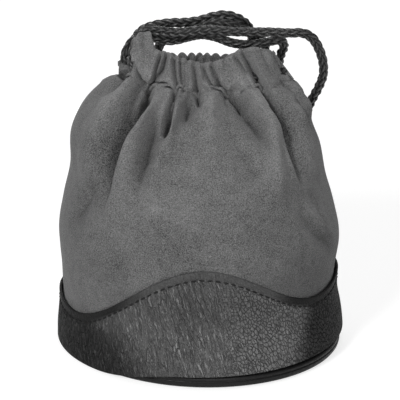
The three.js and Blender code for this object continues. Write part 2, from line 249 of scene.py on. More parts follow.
def frames_along(path):
    """Two level directions at each point of a path, carried along it without twist."""
    ahead = np.gradient(path, axis=0)
    ahead /= np.linalg.norm(ahead, axis=1)[:, None]
    start = np.array([0.0, 0.0, 1.0]) if abs(ahead[0, 2]) < 0.9 else np.array([0.0, 1.0, 0.0])
    first = np.empty_like(path)
    for i, direction in enumerate(ahead):
        start = start - direction * (start @ direction)
        start = start / np.linalg.norm(start)
        first[i] = start
    return first, np.cross(ahead, first)


BRAID_STRANDS = 6
BRAID_PITCH = 3.6
BRAID_RISE = 0.75
BRAID_SWELL = 0.12
CORD_SIDES = 48
CORD_STEP = 0.32


def braid_height(along, turn):
    """How high the braid stands, from 0 in its gaps to 1, each strand over two and under two."""
    one = BRAID_STRANDS * turn + along / BRAID_PITCH
    two = BRAID_STRANDS * turn - along / BRAID_PITCH
    step = (np.floor(one) + np.floor(two)) % 4
    over = step < 2
    across = np.where(over, one, two) % 1
    onward = np.where(over, step + two % 1, step - 2 + one % 1) / 2
    return np.sin(np.pi * across) ** 0.7 * (0.35 + 0.65 * np.sin(np.pi * onward) ** 0.6)


def braided_tube(name, route, step=CORD_STEP, taper=0.0):
    """A braided cord along a route in mm. Gives it with its path and its length in metres."""
    path, length = smooth_path(route, step)
    first, second = frames_along(path)
    rings = len(path) - 1
    radius = CORD_DIAMETER / MM / 2
    made = {}

    def place(along, turn):
        ring = np.rint(along * rings).astype(int)
        crown = braid_height(along * length, turn)
        angle = 2 * np.pi * turn
        away = np.cos(angle)[:, None] * first[ring] + np.sin(angle)[:, None] * second[ring]
        out = radius + BRAID_SWELL - BRAID_RISE * (1 - crown)
        if taper:
            ends = np.minimum(along, 1 - along) * length
            out = out * (1 - taper * (1 - smooth(ends / radius)))
        made["run"] = along * length
        return path[ring] + out[:, None] * away

    piece = grid_piece(name, rings, CORD_SIDES, place)
    put_values(piece, run=made["run"])
    close_seams(piece)
    shade_smooth(piece)
    return piece, path * MM, length * MM


# %% Free ends of the cord
ends = {
    side: braided_tube(f"cord_{word}_free_end", route)
    for (side, word), route in zip(SIDES, (FRONT_END_ROUTE, BACK_END_ROUTE))
}
print("free ends, metres:", [round(length, 4) for _, _, length in ends.values()])

# %% [markdown]
# ## The knots
# Each end of the cord is tied in a knot that is pulled tight, with a short tail. The knot is the
# same braided tube on a small three-lobed loop, so the strands pass over each other as in a knot.

# %% Knots at the ends of the cord
# How far a lobe reaches, how deep the knot is, how much its loops cross and how tight it is
KNOT_LOBE, KNOT_DEPTH, KNOT_CROSSING, KNOT_PULL = 1.35, 1.9, 1.6, 1.25
# The tail's points: how far down the knot's axis and how far beside it
TAIL_POINTS = ((1.5, 0.6), (4.2, 1.2), (6.4, 1.6))


def cord_knot(name, place, end_direction, turn):
    """A tight three-lobed knot with a tail, whose axis follows the cord's last stretch."""
    t = np.linspace(0, 2 * np.pi, 40, endpoint=False)
    lobes = np.stack(
        [
            KNOT_LOBE * (np.sin(t) + KNOT_CROSSING * np.sin(2 * t)) / KNOT_PULL,
            -KNOT_DEPTH * np.sin(3 * t) / KNOT_PULL,
            KNOT_LOBE * (np.cos(t) - KNOT_CROSSING * np.cos(2 * t)) / KNOT_PULL,
        ],
        1,
    )
    axis = Vector(end_direction).normalized()
    upright = Vector((0, 0, -1)).rotation_difference(axis).to_matrix()
    turned = upright @ Matrix.Rotation(turn, 3, "Z")
    centre = np.array(place)
    points = [np.array(turned @ Vector(row)) + centre for row in lobes]
    points.append(points[0])
    tail_way, side_way = np.array(axis), np.array(turned @ Vector((1, 0, 0)))
    tail = [centre + tail_way * far + side_way * beside for far, beside in TAIL_POINTS]
    knot, _, _ = braided_tube(name, points, step=0.5)
    end, _, _ = braided_tube(name + "_tail", tail, step=0.5, taper=0.35)
    take(knot)
    end.select_set(True)
    bpy.ops.object.join()
    return knot


knots = {
    -1: cord_knot("cord_front_knot", (38.6, 44.6, 44.6), (0.05, 0.35, -0.9), 0.4),
    1: cord_knot("cord_back_knot", (-21.2, 55.1, 48.2), (-0.25, 0.1, -0.95), 1.3),
}
print("knots:", [knot.name for knot in knots.values()])

# %% [markdown]
# ## The bag's shape
# The bag is a lofted shell: a round foot that narrows to a flat, gathered mouth. Stations give its
# width, depth and lean at thirteen heights, and a smooth curve runs through them. The hem goes on
# from the panel's top edge, so panel and hem share one formula: climb runs from 0 at the foot to
# 1 at the seam under the hem, and on to 2 at the hem's top edge.

# %% Stations of the bag, in millimetres and shares
SHARES = np.array([0, 0.09, 0.17, 0.25, 0.37, 0.49, 0.61, 0.73, 0.83, 0.89, 0.935, 0.97, 1])
WIDTH = np.array(
    [1, 0.981, 0.973, 0.988, 1.045, 0.946, 0.804, 0.739, 0.565, 0.467, 0.315, 0.22, 0])
DEPTH = np.array([1, 0.985, 0.965, 0.98, 1, 0.965, 0.87, 0.7, 0.5, 0.355, 0.24, 0.12, 0])
LEAN = np.array([0, 0.05, 0.42, 0.48, 0.43, 0.62, 0.92, 1.55, 1.6, 0.9, 0.9, 0.7, 0.3])
FOOT_RADIUS, PANEL_FOOT, SEAM = 53.0, 4.9, 0.14
RIM_HEIGHT, RIM_HALF_WIDTH, RIM_HALF_DEPTH, RIM_LEAN = 100.0, 31.5, 9.5, -2.0
RIM_LEFT_RISE, RIM_RIGHT_RISE = 4.5, 3.0


def station(column, share):
    """Smooth curve through one column of the stations."""
    last = len(SHARES) - 1
    row = np.clip(np.searchsorted(SHARES, share, side="left"), 1, last)
    low = row - 1
    span = SHARES[row] - SHARES[low]
    t = (share - SHARES[low]) / span

    def slope(i):
        before, after = np.maximum(i - 1, 0), np.minimum(i + 1, last)
        return (column[after] - column[before]) / (SHARES[after] - SHARES[before])

    value = (1 + 2 * t) * (1 - t) ** 2 * column[low] + t * (1 - t) ** 2 * span * slope(low)
    return value + t**2 * (3 - 2 * t) * column[row] + t**2 * (t - 1) * span * slope(row)


def seam_height(x):
    out = (x - RIM_LEAN) / RIM_HALF_WIDTH
    return RIM_HEIGHT + np.where(out < 0, RIM_LEFT_RISE, RIM_RIGHT_RISE) * out**2


# Height of the hem's top edge along the mouth
FRONT_RIM_X = [-26.0, -25.2, -24.2, -22.5, -21.0, -20.2, -19.5, -18.8, -14, -8.5, -1, 5, 9, 12.7,
               17, 21, 24, 26]
FRONT_RIM_Z = [119.0, 120.8, 121.6, 121.8, 121.8, 121.2, 118.0, 115.2, 114.3, 112.2, 110.4, 111.6,
               113.8, 116.2, 116.8, 116.6, 115.2, 113.0]
BACK_RIM_X = [-33, -31, -27, -22, -14, -4, 6, 14, 22, 26]
BACK_RIM_Z = [107.2, 108.6, 109.6, 110.0, 109.6, 109.8, 109.6, 109.6, 110.2, 109.5]
TOP_HALF_DEPTH = {-1: 9.6, 1: 8.6}
# The top edge is a little narrower than the seam below it, and it is pulled to the left
TOP_SHIFT, TOP_SHARE = -0.2, 0.83
LEFT_PULL = {-1: 3.0, 1: 6.8}
BACK_LEFT_SWELL = 1.4
# Where along the mouth the pull and the swell start, and how soon they are full
PULL_START, SWELL_START, LEFT_SOFTNESS = 0.45, 0.55, 0.2
# The right cheek of the hem stands out: by how much, where along and where up
CHEEK, CHEEK_START, CHEEK_SOFTNESS = 2.4, 0.55, 0.4
CHEEK_CLIMB, CHEEK_TALL = 1.08, 0.2


def rim_top(side, x):
    if side < 0:
        return np.interp(x, FRONT_RIM_X, FRONT_RIM_Z)
    return np.interp(x, BACK_RIM_X, BACK_RIM_Z)


def drawn_skin(side, across, climb):
    """The outside of the bag by its stations, with a kink where the hem stands up."""
    turn = across * QUARTER
    share = np.clip(climb, 0, 1)
    lean = RIM_LEAN * station(LEAN, share)
    wide = RIM_HALF_WIDTH + (FOOT_RADIUS - RIM_HALF_WIDTH) * station(WIDTH, share)
    deep = RIM_HALF_DEPTH + (FOOT_RADIUS - RIM_HALF_DEPTH) * station(DEPTH, share)
    level = np.maximum(np.cos(turn), 0)
    x = lean + wide * np.sin(turn)
    y = SEAM / 2 + deep * level
    z = PANEL_FOOT + (seam_height(x) - PANEL_FOOT) * share
    up = np.clip(climb - 1, 0, 1)
    pulled = LEFT_PULL[side] * smooth((-across - PULL_START) / LEFT_SOFTNESS)
    x_top = TOP_SHIFT + TOP_SHARE * x - pulled
    y_top = SEAM / 2 + TOP_HALF_DEPTH[side] * level**0.4
    if side > 0:
        y_top = y_top + BACK_LEFT_SWELL * smooth((-across - SWELL_START) / LEFT_SOFTNESS)
    z_top = rim_top(side, x_top)
    y = y + (y_top - y) * up**0.5
    z = z + (z_top - z) * up
    x = x + (x_top - x) * up
    cheek = CHEEK * smooth((across - CHEEK_START) / CHEEK_SOFTNESS)
    cheek = cheek * np.exp(-(((climb - CHEEK_CLIMB) / CHEEK_TALL) ** 2))
    return np.stack([x + cheek, side * y, z], -1)


KINK_BELOW, KINK_ABOVE = 0.03, 0.2
NORMAL_STEP = 0.004


def plain_skin(side, across, climb):
    """The outside of the bag without its folds, its kink under the hem rounded off."""
    near = np.exp(-((np.maximum(climb - 1, 0) / KINK_ABOVE) ** 2 + (
        np.maximum(1 - climb, 0) / KINK_BELOW) ** 2))
    low = drawn_skin(side, across, climb - KINK_BELOW * near)
    high = drawn_skin(side, across, climb + KINK_ABOVE * near)
    return (low + 2 * drawn_skin(side, across, climb) + high) / 4


def skin_normal(side, across, climb):
    right, left = (plain_skin(side, across + d, climb) for d in (NORMAL_STEP, -NORMAL_STEP))
    along = right - left
    up = plain_skin(side, across, np.minimum(climb + NORMAL_STEP, 2))
    up = up - plain_skin(side, across, np.maximum(climb - NORMAL_STEP, 0))
    normal = -side * np.cross(along, up)
    return normal / np.maximum(np.linalg.norm(normal, axis=-1), 1e-9)[..., None]


print("mouth corner:", np.round(plain_skin(-1, np.array([1.0]), np.array([1.0]))[0], 1))

# %% [markdown]
# ## Folds in the suede
# Gathered suede falls in soft pipes with sharp creases between them, and the creases fan out
# downwards. Each fold is a line of (across, climb) points with a depth and a width on each side,
# so a crease can be steep on one side and soft on the other. Cloth simulation would not put the
# creases where this bag has them, so they are drawn as lines and moved along the skin's normal.

# %% Fold lines
# Each line's points are across and climb in thousandths and depth in tenths of a millimetre, and
# a depth below zero stands out. Its widths to the left and to the right follow, in millimetres.
FOLD_UNITS = (1000, 1000, 10)
FRONT_FOLDS = [
    # The creases beside the hem's open end and on the shoulder
    ([(-685, 1409, 16), (-738, 1150, 18), (-678, 984, 12), (-636, 949, 3)], 2.2, 1.2),
    ([(-514, 1051, 10), (-486, 985, 20), (-469, 952, 15), (-471, 914, 8), (-467, 870, 0)], 2.0,
       1.6),
    ([(-640, 1461, 6), (-567, 1213, 13), (-514, 1051, 15), (-429, 995, 15)], 0.9, 0.9),
    # The long deep valley on the left, from its sharp top
    ([(-444, 1029, 12), (-395, 981, 30), (-363, 956, 40), (-357, 940, 30), (-373, 916, 12),
       (-385, 898, 0)], 1.8, 1.4),
    ([(-370, 975, 0), (-356, 952, 15), (-371, 923, 34), (-393, 890, 46), (-410, 850, 48),
       (-430, 809, 45), (-442, 769, 40), (-454, 723, 34), (-474, 672, 25), (-497, 615, 15),
       (-504, 556, 6), (-510, 509, 0)], 6.0, 1.7),
    # The ridge right of it and the softer valley behind the ridge
    ([(-280, 1028, -10), (-271, 970, -22), (-290, 938, -30), (-325, 890, -32), (-342, 848, -32),
       (-350, 807, -30), (-360, 756, -25), (-383, 696, -17), (-411, 630, 0)], 3.2, 2.8),
    ([(-248, 924, 4), (-252, 886, 18), (-255, 848, 28), (-254, 810, 30), (-265, 770, 23),
       (-279, 722, 14), (-297, 674, 7), (-317, 623, 0)], 1.8, 2.4),
    # The arch where that ridge tucks under the hem
    ([(-401, 989, 10), (-419, 1041, 14), (-373, 1187, 16), (-309, 1205, 16), (-261, 1097, 15),
       (-207, 998, 13), (-173, 975, 10)], 0.9, 0.9),
    # The short dark valley left of the middle, and the ridge right of it
    ([(-175, 987, 11), (-173, 959, 22), (-173, 944, 40), (-179, 912, 58), (-182, 890, 50),
       (-182, 872, 16), (-184, 856, 0)], 1.7, 1.2),
    ([(-144, 1035, -10), (-139, 967, -23), (-144, 938, -25), (-154, 896, -19), (-146, 850, -7),
       (-140, 819, 0)], 2.4, 2.4),
    # Creases of the gathers, from left to right
    ([(-411, 1950, 8), (-419, 1516, 15), (-416, 1384, 16), (-428, 1182, 8)], 0.8, 0.8),
    ([(-353, 1950, 10), (-356, 1600, 15), (-379, 1415, 16), (-413, 1220, 15), (-428, 1030, 8)],
       0.9, 0.9),
    ([(-265, 1950, 10), (-233, 1535, 13), (-205, 1252, 14), (-190, 996, 12), (-185, 970, 3)], 0.9,
       0.9),
    ([(-205, 1950, 9), (-185, 1500, 13), (-162, 1195, 14), (-142, 990, 12), (-139, 965, 3)], 0.9,
       0.9),
    ([(-170, 1950, 6), (-153, 1500, 9), (-142, 1126, 5)], 0.7, 0.7),
    ([(-79, 1950, 9), (-56, 1484, 12), (-41, 1075, 19), (-17, 986, 29), (-3, 965, 19),
       (9, 951, 0)], 1.2, 1.1),
    ([(-61, 1141, 3), (-72, 998, 12), (-79, 968, 26), (-80, 950, 32), (-86, 932, 20),
       (-93, 905, 0)], 2.4, 2.4),
    ([(73, 1311, -8), (74, 986, -22), (74, 942, -23), (76, 896, -14), (104, 842, 0)], 3.0, 3.0),
    ([(7, 1950, 8), (39, 1566, 12), (96, 1277, 13), (133, 1069, 10), (150, 990, 2)], 0.9, 0.9),
    ([(70, 1950, 7), (102, 1591, 9), (127, 1270, 10), (162, 1013, 9), (187, 975, 2)], 0.7, 0.7),
    ([(87, 1950, 8), (122, 1535, 12), (144, 1220, 12), (170, 1060, 6)], 0.9, 0.9),
    ([(131, 1366, 10), (166, 1116, 18), (200, 1005, 25), (240, 984, 25), (276, 962, 16),
       (312, 946, 0)], 1.3, 1.1),
    ([(208, 1169, 2), (237, 997, 18), (281, 957, 29), (324, 927, 32), (350, 893, 28),
       (384, 862, 19), (417, 817, 6), (420, 777, 0)], 4.2, 2.2),
    ([(299, 1950, 5), (351, 1648, 10), (402, 1453, 3)], 0.8, 0.8),
    # The long valley on the right and the ridge beside it
    ([(379, 1950, 8), (425, 1623, 14), (456, 1377, 18), (496, 1119, 10)], 1.0, 1.4),
    ([(418, 1658, 4), (450, 1414, 12), (475, 1208, 24), (492, 1014, 32), (493, 968, 30),
       (509, 944, 16), (519, 921, 0)], 1.3, 1.6),
    ([(478, 1008, 2), (490, 965, 16), (515, 940, 32), (525, 906, 40), (569, 844, 37),
       (584, 801, 31), (590, 751, 23), (604, 694, 12), (616, 634, 0)], 1.4, 5.0),
    ([(535, 1361, -5), (592, 1029, -12), (605, 962, -13), (626, 922, -8), (632, 871, 0)], 2.6,
       2.6),
    ([(306, 1294, -10), (362, 1002, -22), (399, 953, -27), (426, 911, -27), (446, 864, -26),
       (463, 810, -22), (452, 745, -16), (444, 678, -8), (437, 627, 0)], 3.0, 3.0),
    # Broad forms lower down
    ([(-544, 1176, -10), (-590, 997, -20), (-585, 955, -24), (-606, 912, -22), (-609, 858, -16),
       (-611, 803, -8), (-621, 747, 0)], 3.4, 3.4),
    ([(-300, 600, 0), (-227, 622, -10), (-127, 612, -14), (-30, 610, -12), (44, 645, -6),
       (100, 660, 0)], 6.0, 6.0),
    ([(-580, 660, 0), (-608, 612, 12), (-639, 548, 15), (-691, 493, 12), (-750, 430, 0)], 5.0,
       5.0),
    ([(611, 635, 0), (639, 546, -10), (700, 481, -12), (770, 430, -8), (839, 392, 0)], 1.8, 1.8),
    ([(661, 627, 0), (683, 564, 4), (721, 495, 4), (768, 434, 0)], 0.8, 1.6),
    ([(130, 964, 2), (166, 927, 8), (207, 873, 11), (267, 817, 11), (301, 766, 9), (327, 717, 0)],
       4.5, 3.2),
    ([(570, 600, 0), (610, 500, 9), (680, 440, 9), (790, 360, 0)], 3.0, 3.0),
    ([(700, 1400, 3), (760, 1100, 8), (765, 986, 12), (788, 906, 12), (830, 850, 7),
       (877, 800, 0)], 1.4, 2.2),
]
BACK_FOLDS = [
    ([(-700, 1300, 3), (-720, 1000, 20), (-740, 880, 18), (-780, 700, 0)], 2.2, 3.2),
    ([(-380, 1500, 5), (-400, 1000, 34), (-440, 860, 30), (-500, 660, 0)], 3.4, 1.8),
    ([(-130, 1400, 5), (-140, 1000, 24), (-160, 900, 20), (-180, 720, 0)], 1.8, 3.0),
    ([(100, 1400, 5), (100, 1000, 28), (120, 880, 24), (150, 660, 0)], 3.0, 1.8),
    ([(340, 1400, 5), (360, 1000, 36), (400, 860, 32), (460, 600, 0)], 1.8, 4.0),
    ([(660, 1300, 5), (680, 1000, 20), (710, 880, 16), (760, 700, 0)], 2.4, 2.4),
    ([(-560, 970, -8), (-580, 880, -18), (-620, 720, 0)], 4.0, 4.0),
    ([(220, 970, -8), (240, 880, -20), (290, 700, 0)], 3.6, 3.6),
    ([(-20, 970, -6), (-20, 860, -15), (-20, 720, 0)], 3.6, 3.6),
    ([(-750, 420, 0), (-500, 520, 14), (-300, 560, 0)], 4.0, 4.0),
    ([(300, 500, 0), (550, 470, 13), (800, 360, 0)], 4.0, 4.0),
]
print("folds:", len(FRONT_FOLDS), "in front and", len(BACK_FOLDS), "behind")

# %% [markdown]
# The hem is gathered on its cord into narrow pleats. Their creases are given where they cross the
# hem's top edge and its foot, and the cloth puffs out between each crease and the next.

# %% Pleats of the hem: across at the top edge and at the seam
FRONT_PLEATS = np.array([
    (-0.72, -0.76), (-0.58, -0.50), (-0.411, -0.44), (-0.353, -0.425), (-0.27, -0.195),
    (-0.21, -0.145), (-0.145, -0.10), (-0.08, -0.03), (0.0, 0.12), (0.085, 0.18), (0.19, 0.30),
    (0.295, 0.42), (0.375, 0.50), (0.62, 0.70), (1.1, 1.1),
])
BACK_PLEATS = np.array([
    (-0.80, -0.82), (-0.62, -0.66), (-0.47, -0.52), (-0.36, -0.40), (-0.25, -0.28), (-0.15, -0.17),
    (-0.07, -0.08), (0.0, 0.0), (0.07, 0.09), (0.16, 0.20), (0.27, 0.33), (0.38, 0.44),
    (0.50, 0.56), (0.63, 0.70), (0.80, 0.84), (1.1, 1.1),
])


# The pleats start a little below the seam and die out towards the right end of the mouth
PLEATS_BELOW = 0.15
PLEATS_FADE, FADE_LENGTH = 0.62, 0.3


def pleat_phase(side, across, climb):
    """Counts pleats along the hem: a whole number lies on a crease."""
    table = FRONT_PLEATS if side < 0 else BACK_PLEATS
    up = np.clip(climb - 1, -PLEATS_BELOW, 1)
    lines = table[:, 1][:, None] + (table[:, 0] - table[:, 1])[:, None] * up[None, :]
    phase = np.zeros_like(across)
    for k in range(len(table) - 1):
        low, high = lines[k], lines[k + 1]
        inside = (across >= low) & (across < high)
        phase = np.where(inside, k + (across - low) / np.maximum(high - low, 1e-4), phase)
    return np.where(across < lines[0], 0, phase)


def pleat_crest(phase):
    """0 on a pleat's crease and 1 on its top."""
    return np.abs(np.sin(np.pi * phase)) ** 0.75


def right_fade(across):
    """1 where the pleats are full, and 0 where they have died out."""
    return 1 - smooth((across - PLEATS_FADE) / FADE_LENGTH)


def value_noise(points, size, seed):
    """Soft random bumps on a lattice of the given size, from 0 to 1, always the same."""
    place = points / size
    cell = np.floor(place).astype(np.int64)
    t = place - cell
    t = t * t * (3 - 2 * t)
    total = np.zeros(len(points))
    for corner in np.ndindex(2, 2, 2):
        c = cell + np.array(corner)
        key = (c[:, 0] * 73856093) ^ (c[:, 1] * 19349663) ^ (c[:, 2] * 83492791) ^ (seed * 2654435)
        value = ((key * 1103515245 + 12345) & 0x7FFFFFFF) / 0x7FFFFFFF
        weight = np.prod(np.where(np.array(corner) == 1, t, 1 - t), axis=1)
        total += value * weight
    return total


# Folds wider than this many mm are soft, and narrower ones are creases. For each kind: how much
# deeper and wider than drawn, the depth whose painted shade is darkest, and the half-width of its
# line of painted shade
CREASE_LIMIT = 2
CREASE_FORM = (1.5, 0.8, 1.8, 0.45)
FOLD_FORM = (1.5, 1.0, 5.0, 0.75)
# The cloth rises beside a valley: by this share of its depth, this many widths away
BANK_RISE, BANK_AWAY, BANK_WIDTH = 0.28, 2.1, 0.9
FOLD_SHADE, PINCH_SHADE = 0.5, 0.5
# How far a fold reaches in widths, and the step of the points along its line
FOLD_REACH, FOLD_STEP = 3.6, 0.02
# How far the cloth puffs out between the pleats, and the height of a pleat that stays in place
PUFF, PUFF_LEVEL = 1.1, 0.62
# The puff at the seam, and how much it grows towards the top edge
PUFF_LOW, PUFF_GROWTH = 0.2, {-1: 0.8, 1: 1.4}


def fold_depth(side, across, climb, points):
    """How far the cloth moves out along its normal, in mm, and how much painted shade its creases
    get.
    """
    move, dark = np.zeros(len(across)), np.zeros(len(across))
    for line, left, right in FRONT_FOLDS if side < 0 else BACK_FOLDS:
        is_crease = max(left, right) < CREASE_LIMIT
        gain, widen, darkest, line_width = CREASE_FORM if is_crease else FOLD_FORM
        path, _ = smooth_path(np.array(line) / FOLD_UNITS, FOLD_STEP)
        track = plain_skin(side, path[:, 0], path[:, 1])
        reach = FOLD_REACH * max(left, right)
        inside = (points > track.min(axis=0) - reach) & (points < track.max(axis=0) + reach)
        here = np.flatnonzero(inside.all(axis=1))
        gap = np.linalg.norm(points[here, None, :] - track[None, :, :], axis=2)
        nearest = gap.argmin(axis=1)
        away = gap[np.arange(len(here)), nearest]
        near = away / (np.where(across[here] < path[nearest, 0], left, right) * widen)
        depth = path[nearest, 2]
        bank = BANK_RISE * np.exp(-(((near - BANK_AWAY) / BANK_WIDTH) ** 2))
        valley, ridge = np.exp(-(near**1.5)) - bank, np.exp(-(near**2))
        move[here] -= depth * np.where(depth > 0, valley, ridge) * gain
        # Painted shade along each fold's line, and for soft folds a wider painted shade beside it
        shade = np.exp(-((away / line_width) ** 2.2))
        if not is_crease:
            shade = np.maximum(shade, FOLD_SHADE * np.exp(-((near / 0.6) ** 1.6)))
        dark[here] = np.maximum(dark[here], np.clip(depth / darkest, 0, 1) * shade)
    phase = pleat_phase(side, across, climb)
    strength = PUFF_LOW + PUFF_GROWTH[side] * smooth((climb - 1) / 0.8)
    strength = strength * smooth((climb - 0.9) / 0.14) * right_fade(across)
    move += PUFF * strength * (pleat_crest(phase) - PUFF_LEVEL)
    # Painted shade in the pinched creases of the pleats
    pinch = (1 - np.abs(np.sin(np.pi * phase))) ** 11 * np.clip(strength, 0, 1)
    dark = np.maximum(dark, PINCH_SHADE * pinch * (phase > 0))
    ends = 1 - np.abs(np.clip(across, -1, 1)) ** 10
    return move * ends, dark * ends


# %% [markdown]
# The panels go on under the leather band to the foot, so the folds fade out before they reach
# the band. Broad and small dents keep the cloth between the folds from lying too evenly.


# %% The bag's outside with its folds
BAND_MEAN, BAND_WAVE, BAND_RIPPLE, BAND_SLANT = 31.0, 10.5, 4.5, 5.4
# Dents: how deep and how wide
BROAD_DENTS, BROAD_SIZE = 1.3, 15.0
SMALL_DENTS, SMALL_SIZE = 0.45, 5.0
FADE_HEIGHT = 9


def band_top(turn):
    waves = BAND_WAVE * np.cos(2 * turn) + BAND_RIPPLE * np.cos(4 * turn)
    return BAND_MEAN + waves + BAND_SLANT * np.sin(turn)


def folded_skin(side, across, climb):
    points = plain_skin(side, across, climb)
    move, dark = fold_depth(side, across, climb, points)
    broad = value_noise(points, BROAD_SIZE, 3) - 0.5
    small = value_noise(points, SMALL_SIZE, 8) - 0.5
    move += (BROAD_DENTS * broad + SMALL_DENTS * small) * (1 - np.abs(across) ** 10)
    above = smooth((points[:, 2] - band_top(across * QUARTER) - 0.5) / FADE_HEIGHT)
    move = move * above
    points = points + move[:, None] * skin_normal(side, across, climb)
    points[:, 1] = side * np.maximum(side * points[:, 1], SEAM / 2)
    return points, move, dark * above


PANEL_COLUMNS, PANEL_ROWS = 230, 120
SUEDE_THICKNESS = 1.0


def suede_panel(side, name):
    made = {}

    def place(along, up):
        across = -side * (2 * along - 1)
        points, made["move"], made["dark"] = folded_skin(side, across, up)
        return points

    piece = grid_piece(name, PANEL_COLUMNS, PANEL_ROWS, place)
    # The fold value lightens rubbed ridges and darkens valleys with painted shade; crease holds
    # painted shade
    put_values(piece, fold=made["move"], crease=made["dark"])
    apply_modifier(piece, "SOLIDIFY", thickness=SUEDE_THICKNESS * MM, offset=-1)
    smooth_by_angle(piece)
    return piece


SEAM_STRIP_WIDTH, SEAM_STRIP_THICKNESS, SEAM_STRIP_GAP = 4.0, 0.4, 0.25
SEAM_STRIP_LOW, SEAM_STRIP_HIGH = 0.12, 0.955


def seam_strip(hand, name):
    """The sewn strip behind a side seam, so that no light comes through between the panels."""

    def place(along, up):
        across = np.full_like(up, hand)
        climb = SEAM_STRIP_LOW + (SEAM_STRIP_HIGH - SEAM_STRIP_LOW) * up
        inward = SUEDE_THICKNESS + SEAM_STRIP_GAP + SEAM_STRIP_THICKNESS / 2
        points = plain_skin(-1, across, climb) - inward * skin_normal(-1, across, climb)
        points[:, 1] = SEAM_STRIP_WIDTH * (along - 0.5)
        return points

    piece = grid_piece(name, 4, 70, place)
    apply_modifier(piece, "SOLIDIFY", thickness=SEAM_STRIP_THICKNESS * MM, offset=0)
    return piece


panels = {side: suede_panel(side, f"suede_{word}") for side, word in SIDES}
seam_strips = [seam_strip(-1, "seam_strip_left"), seam_strip(1, "seam_strip_right")]
print("panel vertices:", len(panels[-1].data.vertices))

# %% [markdown]
# ## The hems
# Each side's top edge is folded over and sewn down, which makes a tunnel for the cord. Its
# section is a closed loop: the outer wall goes on from the panel, rolls over the top edge, comes
# down inside and turns back under the cord. A Solidify modifier gives the loop its cloth.

# %% Hem section and hems
HEM_LEFT = {-1: -0.69, 1: -0.85}
HEM_THICKNESS, HEM_COLUMNS = 0.9, 190
OUTER_ROWS, ROLL_ROWS, INNER_ROWS, FLOOR_ROWS = 30, 8, 14, 6
HEM_ROWS = OUTER_ROWS + ROLL_ROWS + INNER_ROWS + FLOOR_ROWS
# The edge rolls in by its radius and rises, and the floor of the tunnel lies above the seam
ROLL_RADIUS, ROLL_RISE, FLOOR_RISE = 1.5, 1.2, 0.7
# The inner wall's distance from the middle plane: at the ends, and how much more between them
INNER_HALF_LENGTH, INNER_DEPTH, INNER_BOW = 27.0, 0.4, 2.7
# The loop ends this far inside the outer wall's foot, and this far above it
LAP_INSET, LAP_RISE = 1.2, 0.5
# Painted light on the front hem and painted shade on the back hem, as if their cloth stood out by
# these mm
MOUTH_PAINTED_LIGHT = {-1: 2.2, 1: -2.0}


def inner_depth(along):
    return INNER_DEPTH + INNER_BOW * np.cos(along * QUARTER) ** 2


def hem_points(side, across, lap):
    """A point of the hem's loop: lap runs 0 to 1 up the outer wall, over, down and back."""
    at = lap * HEM_ROWS
    climb = 1 + np.clip(at / OUTER_ROWS, 0, 1)
    points, move, dark = folded_skin(side, across, climb)
    foot, _, _ = folded_skin(side, across, np.ones_like(across))
    crest = pleat_crest(pleat_phase(side, across, np.full_like(across, 2.0))) - 0.5
    lift = 1.1 if side < 0 else 0.5 + 0.9 * value_noise(points, SMALL_SIZE, 21)
    points[:, 2] += lift * crest * smooth(climb - 1) * right_fade(across)
    roll = np.clip((at - OUTER_ROWS) / ROLL_ROWS, 0, 1)
    down = np.clip((at - OUTER_ROWS - ROLL_ROWS) / INNER_ROWS, 0, 1)
    back = np.clip((at - OUTER_ROWS - ROLL_ROWS - INNER_ROWS) / FLOOR_ROWS, 0, 1)
    ends = smooth((1 - np.abs(across)) / 0.12)
    level = np.abs(points[:, 1]) - ROLL_RADIUS * ends * (1 - np.cos(np.pi * roll))
    height = points[:, 2] + ROLL_RISE * np.sin(np.pi * roll)
    along = np.clip((points[:, 0] - RIM_LEAN) / INNER_HALF_LENGTH, -1, 1)
    inside = np.minimum(inner_depth(along), level)
    low = seam_height(points[:, 0]) + FLOOR_RISE
    level = level + (inside - level) * smooth(down / 0.55)
    height = height + (low - height) * down
    level = level + (np.maximum(np.abs(foot[:, 1]) - LAP_INSET, 0.3) - level) * back
    height = height + (foot[:, 2] + LAP_RISE - height) * back
    x = points[:, 0] + (foot[:, 0] - points[:, 0]) * np.maximum(down, back)
    y = side * np.maximum(level, SEAM / 2)
    return np.stack([x, y, height], 1), move, dark


def hem(side, name):
    made = {}

    def place(along, lap):
        share = along if side < 0 else 1 - along
        across = HEM_LEFT[side] + (1 - HEM_LEFT[side]) * share
        points, made["move"], made["dark"] = hem_points(side, across, lap)
        return points

    piece = grid_piece(name, HEM_COLUMNS, HEM_ROWS, place)
    # The fold value carries the hem's painted light or painted shade
    put_values(piece, fold=made["move"] + MOUTH_PAINTED_LIGHT[side], crease=made["dark"])
    edit(piece, weld)
    apply_modifier(piece, "SOLIDIFY", thickness=HEM_THICKNESS * MM, offset=-1)
    smooth_by_angle(piece)
    return piece


hems = {side: hem(side, f"hem_{word}") for side, word in SIDES}
print("hem vertices:", [len(piece.data.vertices) for piece in hems.values()])

# %% [markdown]
# ## The cord inside the hems
# One cord runs through both hems. Its middle turns round the right end of the mouth, and its two
# ends come out at the left. The held stretches ride with the hems, and the turn is cut in two
# halves, one at each hem.

# %% Held stretches and the turn
HELD_HEIGHT, HELD_HALF_LENGTH = 5.1, 25.9
HELD_START = {-1: -0.896, 1: -1.0}
# The cord's distance from the middle plane: at the mouth's ends, and how much more between them
HELD_DEPTH, HELD_BOW = 3.6, 1.9
TURN_REACH = 5.2


def tunnel_path(side):
    along = np.linspace(HELD_START[side], 1, 25)
    x = RIM_LEAN + HELD_HALF_LENGTH * along
    y = side * (HELD_DEPTH + HELD_BOW * np.cos(along * QUARTER) ** 2)
    return np.stack([x, y, seam_height(x) + HELD_HEIGHT], 1)


